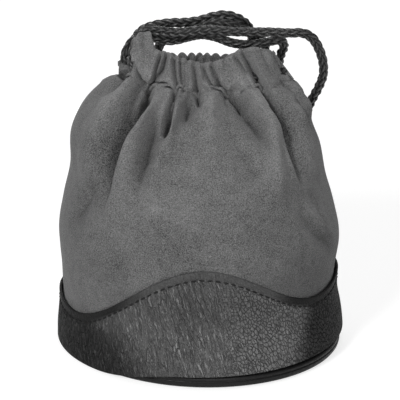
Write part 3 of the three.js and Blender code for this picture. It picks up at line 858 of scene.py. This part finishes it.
held = {side: braided_tube(f"cord_in_{word}_hem", tunnel_path(side))[0] for side, word in SIDES}
turn_x, turn_y, turn_z = tunnel_path(1)[-1]
turns = {}
for side, word in SIDES:
    angle = np.linspace(0, QUARTER, 7)
    bend = [turn_x + TURN_REACH * np.sin(angle), side * turn_y * np.cos(angle), np.full(7, turn_z)]
    turns[side], _, _ = braided_tube(f"cord_turn_{word}", np.stack(bend, 1))
print("held cord ends at", np.round((turn_x, turn_y, turn_z), 1))

# %% [markdown]
# ## The leather band
# Two pieces of pebbled leather run round the foot and meet at the side seams. The band is thick
# enough to stand off the suede, its cut edge is rounded, and a row of stitches follows the wavy
# edge. It has slipped down over the sole on the left.

# %% Leather band
LEATHER_THICKNESS, LEATHER_SEAT, HEM_FLARE, HEM_TILT, HEM_REACH = 1.1, 0.45, 1.1, 0.4, 20.0
BAND_FOOT, FOOT_TILT, FOOT_SLIP = 4.9, 1.2, 3.6
STITCH_DROP, STITCH_PITCH = 3.3, 3.0
STITCH_GROOVE, GROOVE_WIDTH = 0.28, 0.75
BAND_COLUMNS = 260
# Beyond this share of the way round, the band's end lies flat against the other's
BAND_END = 0.996


def band_foot(turn):
    slip = smooth((-np.sin(turn) - 0.1) / 0.6)
    return BAND_FOOT + FOOT_TILT * np.sin(turn) - FOOT_SLIP * slip


def band_skin(side, across, z, out):
    """A point of the band at a height, out from its inner face."""
    turn = across * QUARTER
    seam_rise = seam_height(FOOT_RADIUS * np.sin(turn)) - PANEL_FOOT
    climb = np.clip((z - PANEL_FOOT) / seam_rise, 0, 1)
    point = plain_skin(side, across, climb)
    normal = skin_normal(side, across, climb)
    level = np.hypot(normal[:, 0], normal[:, 1])
    flare = (HEM_FLARE + HEM_TILT * np.sin(turn)) * smooth(1 - (z - BAND_FOOT) / HEM_REACH)
    away = (LEATHER_SEAT + flare + out) / np.maximum(level, 0.5)
    point[:, :2] += (away / np.maximum(level, 1e-9))[:, None] * normal[:, :2]
    point[:, 1] = side * np.maximum(side * point[:, 1], SEAM / 2)
    at_seam = np.abs(across) > BAND_END
    point[:, 1] = np.where(at_seam, side * SEAM / 2, point[:, 1])
    point[:, 2] = z
    return point


def band_section():
    """Loop of the band's section: share of its height, and share of its thickness."""
    outer = [(0.0, 0.75), (0.006, 0.95)] + [(s, 1.0) for s in np.linspace(0.02, 0.965, 34)]
    edge = [(0.985, 0.97), (0.996, 0.82), (1.0, 0.6), (1.0, 0.35), (0.993, 0.12), (0.98, 0.0)]
    inner = [(s, 0.0) for s in np.linspace(0.9, 0.03, 7)]
    return np.array(outer + edge + inner + [(0.0, 0.25), (0.0, 0.75)])


BAND_LOOP = band_section()


def painted_band_shade(side, across, z, plain):
    """Painted shade on the band: darker at its sides, near its top and at the ends of the edge
    strip.
    """
    if side > 0:
        sides_dark = 0.35 + 0.65 * smooth((np.abs(across) - 0.55) / 0.35)
    else:
        left_edge = -0.56 + 0.25 * smooth((26 - z) / 24)
        right_edge = 0.53 - 0.07 * smooth((26 - z) / 20)
        left_dark = smooth((left_edge + 0.27 - across) / 0.36)
        sides_dark = np.maximum(left_dark, smooth((across - right_edge + 0.06) / 0.14))
    # Painted shade near the top of the band, which is left lighter lower down
    top_dark = 0.22 * smooth((z - 14) / 20)
    strip_ends = np.maximum(smooth((-0.12 - across) / 0.28), smooth((across - 0.25) / 0.22))
    return np.maximum(np.maximum(sides_dark, top_dark), plain * strip_ends)


def leather_band(side, name):
    made = {}

    def place(along, lap):
        across = -side * (2 * along - 1)
        turn = across * QUARTER
        row = np.rint(lap * (len(BAND_LOOP) - 1)).astype(int)
        share, out = BAND_LOOP[row, 0], BAND_LOOP[row, 1] * LEATHER_THICKNESS
        low, high = band_foot(turn), band_top(turn)
        z = low + (high - low) * share
        below = high - STITCH_DROP - z
        groove = STITCH_GROOVE * np.exp(-((below / GROOVE_WIDTH) ** 2)) * (BAND_LOOP[row, 1] > 0.9)
        plain = 1 - smooth((below + 0.9) / 1.6)
        made["plain_strip"] = plain
        made["round_cells"] = smooth((across + 0.02) / 0.3) if side < 0 else np.ones_like(z)
        # Painted shade on the band, stored on its vertices for the leather
        made["band_painted_shade"] = painted_band_shade(side, across, z, plain)
        return band_skin(side, across, z, out - groove)

    piece = grid_piece(name, BAND_COLUMNS, len(BAND_LOOP) - 1, place)
    put_values(piece, **made)
    close_seams(piece)
    shade_smooth(piece)
    return piece


PLACE_WORDS = {-1: "in_front", 1: "behind"}
bands = {side: leather_band(side, f"leather_band_{word}") for side, word in PLACE_WORDS.items()}
print("band:", len(bands[-1].data.polygons), "faces each")

# %% [markdown]
# One stitch is a short rounded capsule. It is modelled once as a stretched sphere, and copied
# along the row, each copy turned to lie on the leather.

# %% Stitches along the band's edge
STITCH_LENGTH, STITCH_WIDTH = 2.1, 0.66
# Stitches tip to one side and the other in turn, sink in at their ends and lie in the groove
STITCH_TIP, STITCH_SINK, STITCH_LEVEL = 0.05, 0.12, 0.98
# The row is measured in fine steps a little below the stitches, and ends before the side seams
ROW_STEPS, ROW_LEVEL, ROW_END = 1500, 0.93, 0.985


def unit(way):
    return way / np.linalg.norm(way)


def stitch_row(side, name):
    bpy.ops.object.select_all(action="DESELECT")
    bpy.ops.mesh.primitive_uv_sphere_add(segments=8, ring_count=6, radius=1)
    seed = bpy.context.active_object
    shape = read_points(seed) * np.array([STITCH_WIDTH, STITCH_WIDTH, STITCH_LENGTH]) / 2
    faces = [tuple(p.vertices) for p in seed.data.polygons]
    bpy.data.objects.remove(seed)
    beside, off, lengthwise = shape[:, [0]], shape[:, [1]], shape[:, [2]]
    across = np.linspace(-ROW_END, ROW_END, ROW_STEPS)
    height = band_top(across * QUARTER) - STITCH_DROP
    line = band_skin(side, across, height, np.full(ROW_STEPS, ROW_LEVEL))
    reach = reach_along(line)
    count = int(reach[-1] // STITCH_PITCH)
    at = np.interp((np.arange(count) + 0.5) * reach[-1] / count, reach, across)
    points, polygons = [], []
    for k, here in enumerate(at):
        near = np.array([here - NORMAL_STEP, here + NORMAL_STEP, here])
        z = band_top(near * QUARTER) - STITCH_DROP
        spot = band_skin(side, near, z, np.full(3, STITCH_LEVEL))
        out = unit(band_skin(side, near, z, np.full(3, STITCH_LEVEL + 1))[2] - spot[2])
        run = unit(spot[1] - spot[0])
        up = np.cross(out, run)
        tilt = math.sin(STITCH_TIP) * (1 if k % 2 else -1)
        upright = math.cos(STITCH_TIP)
        run, up = run * upright + up * tilt, up * upright - run * tilt
        sunk = STITCH_SINK * (np.abs(lengthwise) / (STITCH_LENGTH / 2)) ** 3
        points.append(spot[2] + lengthwise * run + beside * up + (off - sunk) * out)
        polygons += [tuple(v + len(shape) * k for v in face) for face in faces]
    mesh = bpy.data.meshes.new(name)
    mesh.from_pydata((np.vstack(points) * MM).tolist(), [], polygons)
    piece = bpy.data.objects.new(name, mesh)
    bpy.context.scene.collection.objects.link(piece)
    edit(piece, face_outwards)
    shade_smooth(piece)
    print(name, "has", count, "stitches")
    return piece


stitches = {side: stitch_row(side, f"stitches_{word}") for side, word in PLACE_WORDS.items()}

# %% [markdown]
# ## The sole, and what lies inside
# The sole is a moulded disc with a rounded lip and a fine groove round its side. A circle is
# extruded and resized ring by ring, as by hand. The pad and its suede cover inside are made in
# the same way: the pad has a crowned top, and the cover has a fine groove near its edge.


# %% Turned discs
def turned_disc(name, centre, profile, segments=160):
    """A round piece from (radius, height) pairs, from its foot's edge to its top's middle."""
    bpy.ops.object.select_all(action="DESELECT")
    radius, height = profile[0]
    middle = (centre[0] * MM, centre[1] * MM)
    bpy.ops.mesh.primitive_circle_add(
        vertices=segments, radius=radius * MM, fill_type="TRIFAN", location=(*middle, height * MM)
    )
    piece = bpy.context.active_object
    piece.name = piece.data.name = name
    bpy.ops.object.transform_apply(location=True, rotation=True, scale=True)
    bpy.ops.object.mode_set(mode="EDIT")
    bpy.ops.mesh.select_all(action="DESELECT")
    bpy.ops.mesh.select_non_manifold(extend=False, use_wire=False, use_boundary=True,
                                     use_multi_face=False, use_non_contiguous=False,
                                     use_verts=False)
    for (old, low), (wide, high) in zip(profile, profile[1:]):
        bpy.ops.mesh.extrude_region_move(
            TRANSFORM_OT_translate={"value": (0, 0, (high - low) * MM)}
        )
        share = wide / old
        bpy.ops.transform.resize(value=(share, share, 1), center_override=(*middle, 0))
    bpy.ops.mesh.merge(type="CENTER")
    bpy.ops.object.mode_set(mode="OBJECT")
    edit(piece, face_outwards)
    smooth_by_angle(piece, 50)
    return piece


SOLE_PROFILE = [
    (51.5, 0.0), (52.7, 0.12), (53.4, 0.45), (53.75, 0.95), (53.88, 1.6), (53.88, 2.3),
    (53.6, 2.5), (53.55, 2.7), (53.82, 2.95), (53.86, 3.6), (53.7, 4.1), (53.2, 4.5),
    (52.3, 4.6), (40.0, 4.6), (20.0, 4.6), (4.0, 4.6),
]
sole = turned_disc("sole_disc", (1.0, -0.6), SOLE_PROFILE, segments=224)
print("sole:", len(sole.data.polygons), "faces")
pad_low, pad_high = (corner.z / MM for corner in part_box("base_pad"))
PAD_PROFILE = [
    (48.6, pad_low), (50.4, pad_low + 0.5), (51.2, pad_low + 1.4), (50.9, pad_high - 1.2),
    (49.6, pad_high - 0.5), (46.0, pad_high - 0.15), (36.0, pad_high), (18.0, pad_high),
    (4.0, pad_high),
]
pad = turned_disc("foam_pad", (0, 0), PAD_PROFILE)
cover_low, cover_high = (corner.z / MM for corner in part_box("pad_cover"))
COVER_PROFILE = [
    (50.6, cover_low), (51.2, cover_low + 0.25), (51.1, cover_high - 0.25), (50.5, cover_high),
    (49.2, cover_high), (48.9, cover_high - 0.18), (48.6, cover_high), (36.0, cover_high),
    (18.0, cover_high), (4.0, cover_high),
]
cover = turned_disc("pad_suede_cover", (0, 0), COVER_PROFILE)
print("pad", round(pad_high - pad_low, 2), "mm thick, cover", round(cover_high - cover_low, 2))

# %% [markdown]
# ## Effects that materials share
# Suede, leather and cord each need fine grain, but at their own scale and strength. Each effect
# is a node group with named inputs and outputs, so every material can set its own values.


# %% Wires, nodes and groups
class Wire:
    """A node's output. Arithmetic with it adds the Math node that works the result out."""

    def __init__(self, made, output=0):
        self.socket = made.outputs[output]

    def math(self, operation, *others):
        return math_node(operation, self, *others)

    def __add__(self, other):
        return math_node("ADD", self, other)

    def __sub__(self, other):
        return math_node("SUBTRACT", self, other)

    def __rsub__(self, other):
        return math_node("SUBTRACT", other, self)

    def __mul__(self, other):
        return math_node("MULTIPLY", self, other)

    def __truediv__(self, other):
        return math_node("DIVIDE", self, other)


def fill_inputs(tree, made, inputs):
    """Gives each of a node's inputs, by name or number, a value or a wire."""
    for key, value in inputs.items():
        if isinstance(value, Wire):
            tree.links.new(value.socket, made.inputs[key])
        else:
            made.inputs[key].default_value = value


def node(tree, kind, inputs=None, **settings):
    """Adds a node with its settings and inputs."""
    made = tree.nodes.new(kind)
    for key, value in settings.items():
        setattr(made, key, value)
    fill_inputs(tree, made, inputs or {})
    return made


def math_node(operation, *values):
    tree = next(value.socket.id_data for value in values if isinstance(value, Wire))
    return Wire(node(tree, "ShaderNodeMath", dict(enumerate(values)), operation=operation))


def noise(where, scale, detail=2.0, rough=0.5, output="Fac"):
    inputs = {"Vector": where, "Scale": scale, "Detail": detail, "Roughness": rough}
    return Wire(node(where.socket.id_data, "ShaderNodeTexNoise", inputs), output)


def soft_step(value, low, high):
    """Rises from 0 to 1 as the value goes from low to high."""
    inputs = {"Value": value, "From Min": low, "From Max": high}
    tree = value.socket.id_data
    return Wire(node(tree, "ShaderNodeMapRange", inputs, interpolation_type="SMOOTHSTEP"))


def mix(share, first, second):
    """The first value where the share is 0, and the second where it is 1."""
    inputs = {0: share, 2: first, 3: second}
    return Wire(node(share.socket.id_data, "ShaderNodeMix", inputs, data_type="FLOAT"))


def shade_colour(colour, factor):
    """Multiplies a colour by a number."""
    tree = colour.socket.id_data
    level = Wire(node(tree, "ShaderNodeCombineColor", {0: factor, 1: factor, 2: factor}))
    inputs = {0: 1.0, 6: colour, 7: level}
    return Wire(node(tree, "ShaderNodeMix", inputs, data_type="RGBA", blend_type="MULTIPLY"), 2)


def socket_kind(value):
    return "NodeSocketColor" if isinstance(value, tuple) else "NodeSocketFloat"


def new_group(name, **inputs):
    """A node group. Gives a wire from each of its inputs, and one with the place in the piece."""
    tree = bpy.data.node_groups.new(name, "ShaderNodeTree")
    for label, value in inputs.items():
        socket = tree.interface.new_socket(label, in_out="INPUT", socket_type=socket_kind(value))
        socket.default_value = value
    entry = tree.nodes.new("NodeGroupInput")
    wires = {label: Wire(entry, label) for label in inputs}
    return tree, wires, Wire(tree.nodes.new("ShaderNodeTexCoord"), "Object")


def give(tree, **outputs):
    """Adds the group's outputs and links a wire to each. Only Colour is a colour."""
    for label in outputs:
        kind = "NodeSocketColor" if label == "Colour" else "NodeSocketFloat"
        tree.interface.new_socket(label, in_out="OUTPUT", socket_type=kind)
    node(tree, "NodeGroupOutput", outputs)
    print("group:", tree.name, "gives", ", ".join(outputs))


# %% [markdown]
# Suede's nap is short fibres that lie in patches, so it shows fine specks, small brushed patches
# and a broad unevenness. Ridges of the folds are rubbed lighter as wear, the valleys get painted
# shade by the same term, and the creases get painted shade as well.

# %% Group: nap of suede
nap, given, where = new_group(
    "suede_nap", Colour=(0.14, 0.14, 0.14, 1), Specks=0.3, Patches=0.2, Fold=0.0, Wear=0.08,
    Crease=0.0, Shadow=0.5,
)
specks = noise(where, 2600, 2, 0.7)
fibres = noise(where, 1300, 3, 0.6)
patches = noise(where, 260, 4, 0.6)
broad_patches = noise(where, 55, 3, 0.55)
# Wear on the ridges and painted shade in the valleys, from the fold value; painted shade in the
# creases
wear_and_shade = (given["Fold"] * given["Wear"]).math("MAXIMUM", -0.3).math("MINIMUM", 0.3)
shade = (specks - 0.5) * given["Specks"] + (patches + broad_patches - 1.0) * given["Patches"]
shade = (shade + wear_and_shade + 1.0) * (1.0 - given["Crease"] * given["Shadow"])
give(nap, Colour=shade_colour(given["Colour"], shade), Height=specks + fibres * 0.7,
     Roughness=patches * 0.1 + 0.86)

# %% [markdown]
# Pebbled leather is covered in small rounded cells with fine creases between them, and where it
# is pulled over an edge the cells draw out into long slanting wrinkles. A Voronoi pattern gives
# the cells, noise bends their edges, and the creases are darker and duller. Noise and cells that
# are drawn out along a slant give the wrinkles. The last input makes the leather darker and less
# glossy: on the band it is painted shade on the sides and near the top, and on the sole it is the
# sole's own darker, duller tone.

# %% Group: pebbled leather grain
pebble, given, where = new_group(
    "pebbled_grain", Colour=(0.05, 0.05, 0.05, 1), Cells=560.0, Crease=0.5, Stretch=1.0,
    Round=1.0, Plain=0.0, Unrubbed=0.0,
)
cells = given["Cells"]
SLANT, ROUND_STRETCH = 0.3, 0.75
drift = noise(where, 300.0, output="Color")
drift = Wire(node(pebble, "ShaderNodeVectorMath", {0: drift, "Scale": 0.0014}, operation="SCALE"))
bent = Wire(node(pebble, "ShaderNodeVectorMath", {0: where, 1: drift}, operation="ADD"))
parts = node(pebble, "ShaderNodeSeparateXYZ", {0: bent})
x, y, z = (Wire(parts, axis) for axis in "XYZ")
slanted = {"X": x + z * SLANT, "Y": y}
drawn_out = Wire(node(pebble, "ShaderNodeCombineXYZ", {**slanted, "Z": z * given["Stretch"]}))
rounded = Wire(node(pebble, "ShaderNodeCombineXYZ", {**slanted, "Z": z * ROUND_STRETCH}))


def cell_lines(place, scale):
    """The creases between rounded cells: 1 in a crease, 0 on top of a cell."""
    inputs = {"Vector": place, "Scale": scale}
    edges = node(pebble, "ShaderNodeTexVoronoi", inputs, feature="DISTANCE_TO_EDGE")
    return 1.0 - soft_step(Wire(edges, "Distance"), 0.0, 0.15)


# Low parts of a stretched noise, its middle height as wandering lines, and long cells
streaks = 1.0 - soft_step(noise(drawn_out, cells * 0.8, 3.5, 0.65), 0.4, 0.56)
middle = (noise(drawn_out, cells * 0.3, 1.5) - 0.5).math("ABSOLUTE")
wandering = 1.0 - soft_step(middle, 0.0, 0.05)
wrinkles = (streaks * 0.75).math("MAXIMUM", wandering)
wrinkles = wrinkles.math("MAXIMUM", cell_lines(drawn_out, cells * 0.7) * 0.6)
pebbles = cell_lines(rounded, cells * 0.55)
lines = mix(given["Round"] * 0.72, wrinkles, pebbles) * (1.0 - given["Plain"] * 0.75)
pores = noise(where, 2400)
shade = (1.0 - lines * given["Crease"]) + (noise(where, 90, 3) - 0.5) * 0.4
shade = shade * (pores * 1.6 + 0.2)
# The band's painted shade and the sole's own darker tone come in here
shade = shade * (1.0 - given["Unrubbed"] * 0.7) * (1.0 - given["Plain"] * 0.58)
give(pebble, Colour=shade_colour(given["Colour"], shade), Height=pores * 0.15 - lines,
     Roughness=lines * 0.3 + 0.4, Gloss=(1.0 - given["Unrubbed"]) * 0.26 + 0.02)

# %% [markdown]
# Each strand of the braid is a bundle of shiny yarns. Fine lines run along the strands: they
# follow the cord's UV map and lean one way or the other with the strand's winding. A painted
# highlight runs along the crown of each strand, so the gaps between strands look dark.

# %% Group: yarns of the braid
yarn, given, where = new_group(
    "braid_yarns", Colour=(0.04, 0.04, 0.04, 1), Run=0.0, Contrast=0.6,
)
uv = Wire(node(yarn, "ShaderNodeTexCoord"), "UV")
round_count = Wire(node(yarn, "ShaderNodeSeparateXYZ", {0: uv}), "Y") * BRAID_STRANDS
run_count = given["Run"] / BRAID_PITCH
wind_one, wind_two = round_count + run_count, round_count - run_count
step_on = (wind_one.math("FLOOR") + wind_two.math("FLOOR")).math("FLOORED_MODULO", 4.0)
one_is_over = step_on.math("LESS_THAN", 1.5)
part_one, part_two = (wind.math("FLOORED_MODULO", 1.0) for wind in (wind_one, wind_two))


def hump(value, turns):
    return (value * (turns * math.pi)).math("SINE").math("ABSOLUTE")


strand_across = mix(one_is_over, part_two, part_one)
strand_onward = mix(one_is_over, step_on - 2.0 + part_one, step_on + part_two)
yarn_lines = hump(strand_across, 3)
fuzz = noise(where, 2600, 2, 0.6)
crown = hump(strand_across, 1).math("POWER", 0.7) * (hump(strand_onward, 0.5) * 0.65 + 0.35)
# Painted highlight along the crown of each strand, set by Contrast
painted_glint = crown.math("POWER", 3.0) * (yarn_lines * 0.7 + 0.5)
shade = (painted_glint * given["Contrast"] + 0.3) * (fuzz * 1.2 + 0.4)
give(yarn, Colour=shade_colour(given["Colour"], shade), Height=crown + yarn_lines * 0.25,
     Roughness=fuzz * 0.25 + 0.28)

# %% [markdown]
# ## Materials
# A colour is written as the grey that it should show in plain light, from 0 to 255, and turned
# into Blender's linear value.


# %% Material helpers
def grey(level, tint=(1.0, 1.0, 1.0)):
    linear = ((level / 255 + 0.055) / 1.055) ** 2.4
    return tuple(linear * t for t in tint) + (1.0,)


def grained_material(name, group, values, bump, distance, shader=None, layers=None):
    """A material whose Principled shader takes its colour, roughness and bump from a group.

    Layers name the group's inputs that read a value stored on the vertices.
    """
    material = bpy.data.materials.new(name)
    material.use_nodes = True
    tree = material.node_tree
    readers = {
        label: Wire(node(tree, "ShaderNodeAttribute", attribute_name=layer), "Fac")
        for label, layer in (layers or {}).items()
    }
    effect = tree.nodes.new("ShaderNodeGroup")
    effect.node_tree = group
    fill_inputs(tree, effect, {**values, **readers})
    lift = {"Strength": bump, "Distance": distance, "Height": Wire(effect, "Height")}
    surface = {
        "Base Color": Wire(effect, "Colour"), "Roughness": Wire(effect, "Roughness"),
        "Normal": Wire(node(tree, "ShaderNodeBump", lift)), **(shader or {}),
    }
    if "Gloss" in effect.outputs:
        surface["Specular IOR Level"] = Wire(effect, "Gloss")
    fill_inputs(tree, tree.nodes["Principled BSDF"], surface)
    return material


def finish_piece(piece, material, body=None, replaces=()):
    piece.data.materials.clear()
    piece.data.materials.append(material)
    if body:
        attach(piece, body)
    if replaces:
        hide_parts(*replaces)


# %% The materials
# The suede's fold term is wear on ridges and painted shade in valleys, and Shadow sets how dark
# the painted shade in creases is
suede = grained_material(
    "grey_suede", nap,
    {"Colour": grey(96), "Specks": 3.8, "Patches": 0.7, "Wear": 0.075, "Shadow": 0.8},
    bump=0.55, distance=0.0004,
    shader={"Sheen Weight": 0.22, "Sheen Roughness": 0.5, "Specular IOR Level": 0.15},
    layers={"Fold": "fold", "Crease": "crease"},
)
# The leather reads the band's painted shade from its vertices
leather = grained_material(
    "pebbled_black_leather", pebble,
    {"Colour": grey(118), "Cells": 1450.0, "Crease": 0.68, "Stretch": 0.15},
    bump=1.0, distance=0.0008,
    layers={"Round": "round_cells", "Plain": "plain_strip", "Unrubbed": "band_painted_shade"},
)
thread = grained_material(
    "black_thread", nap, {"Colour": grey(34), "Specks": 0.8}, bump=0.2, distance=0.0002,
    shader={"Specular IOR Level": 0.2},
)
# Contrast sets the strength of the painted highlight on the strands
cord_yarn = grained_material(
    "braided_cord", yarn, {"Colour": grey(37), "Contrast": 2.6}, bump=0.5, distance=0.0005,
    shader={"Specular IOR Level": 0.5}, layers={"Run": "run"},
)
sole_rubber = grained_material(
    "sole_rubber", pebble, {"Colour": grey(30), "Cells": 1500.0, "Crease": 0.1, "Unrubbed": 0.35},
    bump=0.12, distance=0.0002,
)
board_card = grained_material(
    "fibre_board", nap, {"Colour": grey(120, (1.0, 0.9, 0.75)), "Specks": 0.3},
    bump=0.2, distance=0.0003,
)
foam = grained_material(
    "grey_foam", pebble, {"Colour": grey(110), "Cells": 900.0, "Crease": 0.4},
    bump=0.4, distance=0.0004,
)
print("materials:", len(bpy.data.materials))

# %% [markdown]
# ## Pieces and their bodies
# The hems and the cord held in them ride on their side's rim, and the band, stitches, knots,
# sole, pad and cover ride on the bag. The panels, the seam strips, the turn and the cord's free
# ends ride on no body: their transforms are baked where they stand.

# %% Bodies and replaced solids
for side, word in SIDES:
    rim = f"{word}_rim"
    finish_piece(panels[side], suede, replaces=[f"suede_{word}_panel"])
    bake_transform(panels[side])
    finish_piece(hems[side], suede, rim, [f"{word}_casing"])
    finish_piece(bands[side], leather, "bag", [f"leather_band_{word}"])
    finish_piece(stitches[side], thread, "bag")
    finish_piece(held[side], cord_yarn, rim, [f"cord_{word}_held"])
    finish_piece(turns[side], cord_yarn, replaces=["cord_right_turn"])
    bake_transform(turns[side])
    finish_piece(knots[side], cord_yarn, "bag", [f"{word}_end_knot"])
    end = ends[side][0]
    finish_piece(end, cord_yarn, replaces=[f"cord_{word}_end"])
    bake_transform(end)

for strip in seam_strips:
    finish_piece(strip, suede)
    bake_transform(strip)

finish_piece(sole, sole_rubber, "bag", ["sole"])
finish_piece(cover, suede, "bag", ["pad_cover"])
finish_piece(pad, foam, "bag", ["base_pad"])
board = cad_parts["base_board"]
board.data.materials.clear()
board.data.materials.append(board_card)
print("pieces ride on their bodies")

# %% The cord's free ends
for side, word in SIDES:
    piece, path, length = ends[side]
    [tuple(p) for p in path[:-2:4]] + [tuple(path[-1])]
print("cord ends of", [round(length, 3) for _, _, length in ends.values()], "m")

# %% [markdown]
# ## Floor, world and light
# The pouch stands on a plain white floor under soft light. The floor reaches far behind, so it
# fills the picture, and large lamps give shadows without an edge. To the camera the paper is a
# little bright of itself, and to the pouch it is a duller white, which keeps its underside dark.

# %% Floor
bpy.ops.object.select_all(action="DESELECT")
bpy.ops.mesh.primitive_plane_add(size=6, location=(0, 0, -0.0002))
floor = bpy.context.active_object
floor.name = "floor"
paper = bpy.data.materials.new("white_paper")
paper.use_nodes = True
tree = paper.node_tree
seen = node(tree, "ShaderNodeLightPath")
clear = Wire(seen, "Is Camera Ray").math("MAXIMUM", Wire(seen, "Is Glossy Ray"))
clear = clear.math("MAXIMUM", Wire(seen, "Is Transmission Ray"))
white = tree.nodes["Principled BSDF"]
fill_inputs(tree, white, {
    "Base Color": (0.40, 0.40, 0.40, 1), "Roughness": 1.0, "Specular IOR Level": 0.0,
    "Emission Color": (1, 1, 1, 1), "Emission Strength": 0.74,
})
dull = node(tree, "ShaderNodeBsdfDiffuse", {"Color": (0.3, 0.3, 0.3, 1)})
choice = node(tree, "ShaderNodeMixShader", {0: clear, 1: Wire(dull), 2: Wire(white)})
fill_inputs(tree, tree.nodes["Material Output"], {"Surface": Wire(choice)})
floor.data.materials.append(paper)
print("floor:", floor.name)

# %% World and lamps
world = bpy.data.worlds.new("studio")
world.use_nodes = True
fill_inputs(world.node_tree, world.node_tree.nodes["Background"], {
    "Color": (1, 1, 1, 1), "Strength": 0.12,
})
bpy.context.scene.world = world


def soft_lamp(name, place, size, power):
    data = bpy.data.lights.new(name, "AREA")
    data.shape, data.size, data.energy = "DISK", size, power
    lamp = bpy.data.objects.new(name, data)
    lamp.location = place
    lamp.rotation_euler = (TARGET - Vector(place)).to_track_quat("-Z", "Y").to_euler()
    bpy.context.scene.collection.objects.link(lamp)


soft_lamp("key", (-0.50, -0.96, 0.80), 0.25, 11.5)
soft_lamp("front", (0.28, -1.22, 0.22), 0.4, 5.8)
soft_lamp("top", (0.1, 0.15, 1.3), 0.9, 5.0)
soft_lamp("back", (-0.2, 1.3, 0.5), 0.6, 5.0)
bpy.context.scene.view_settings.view_transform = "Standard"
print("lamps:", len(bpy.data.lights))
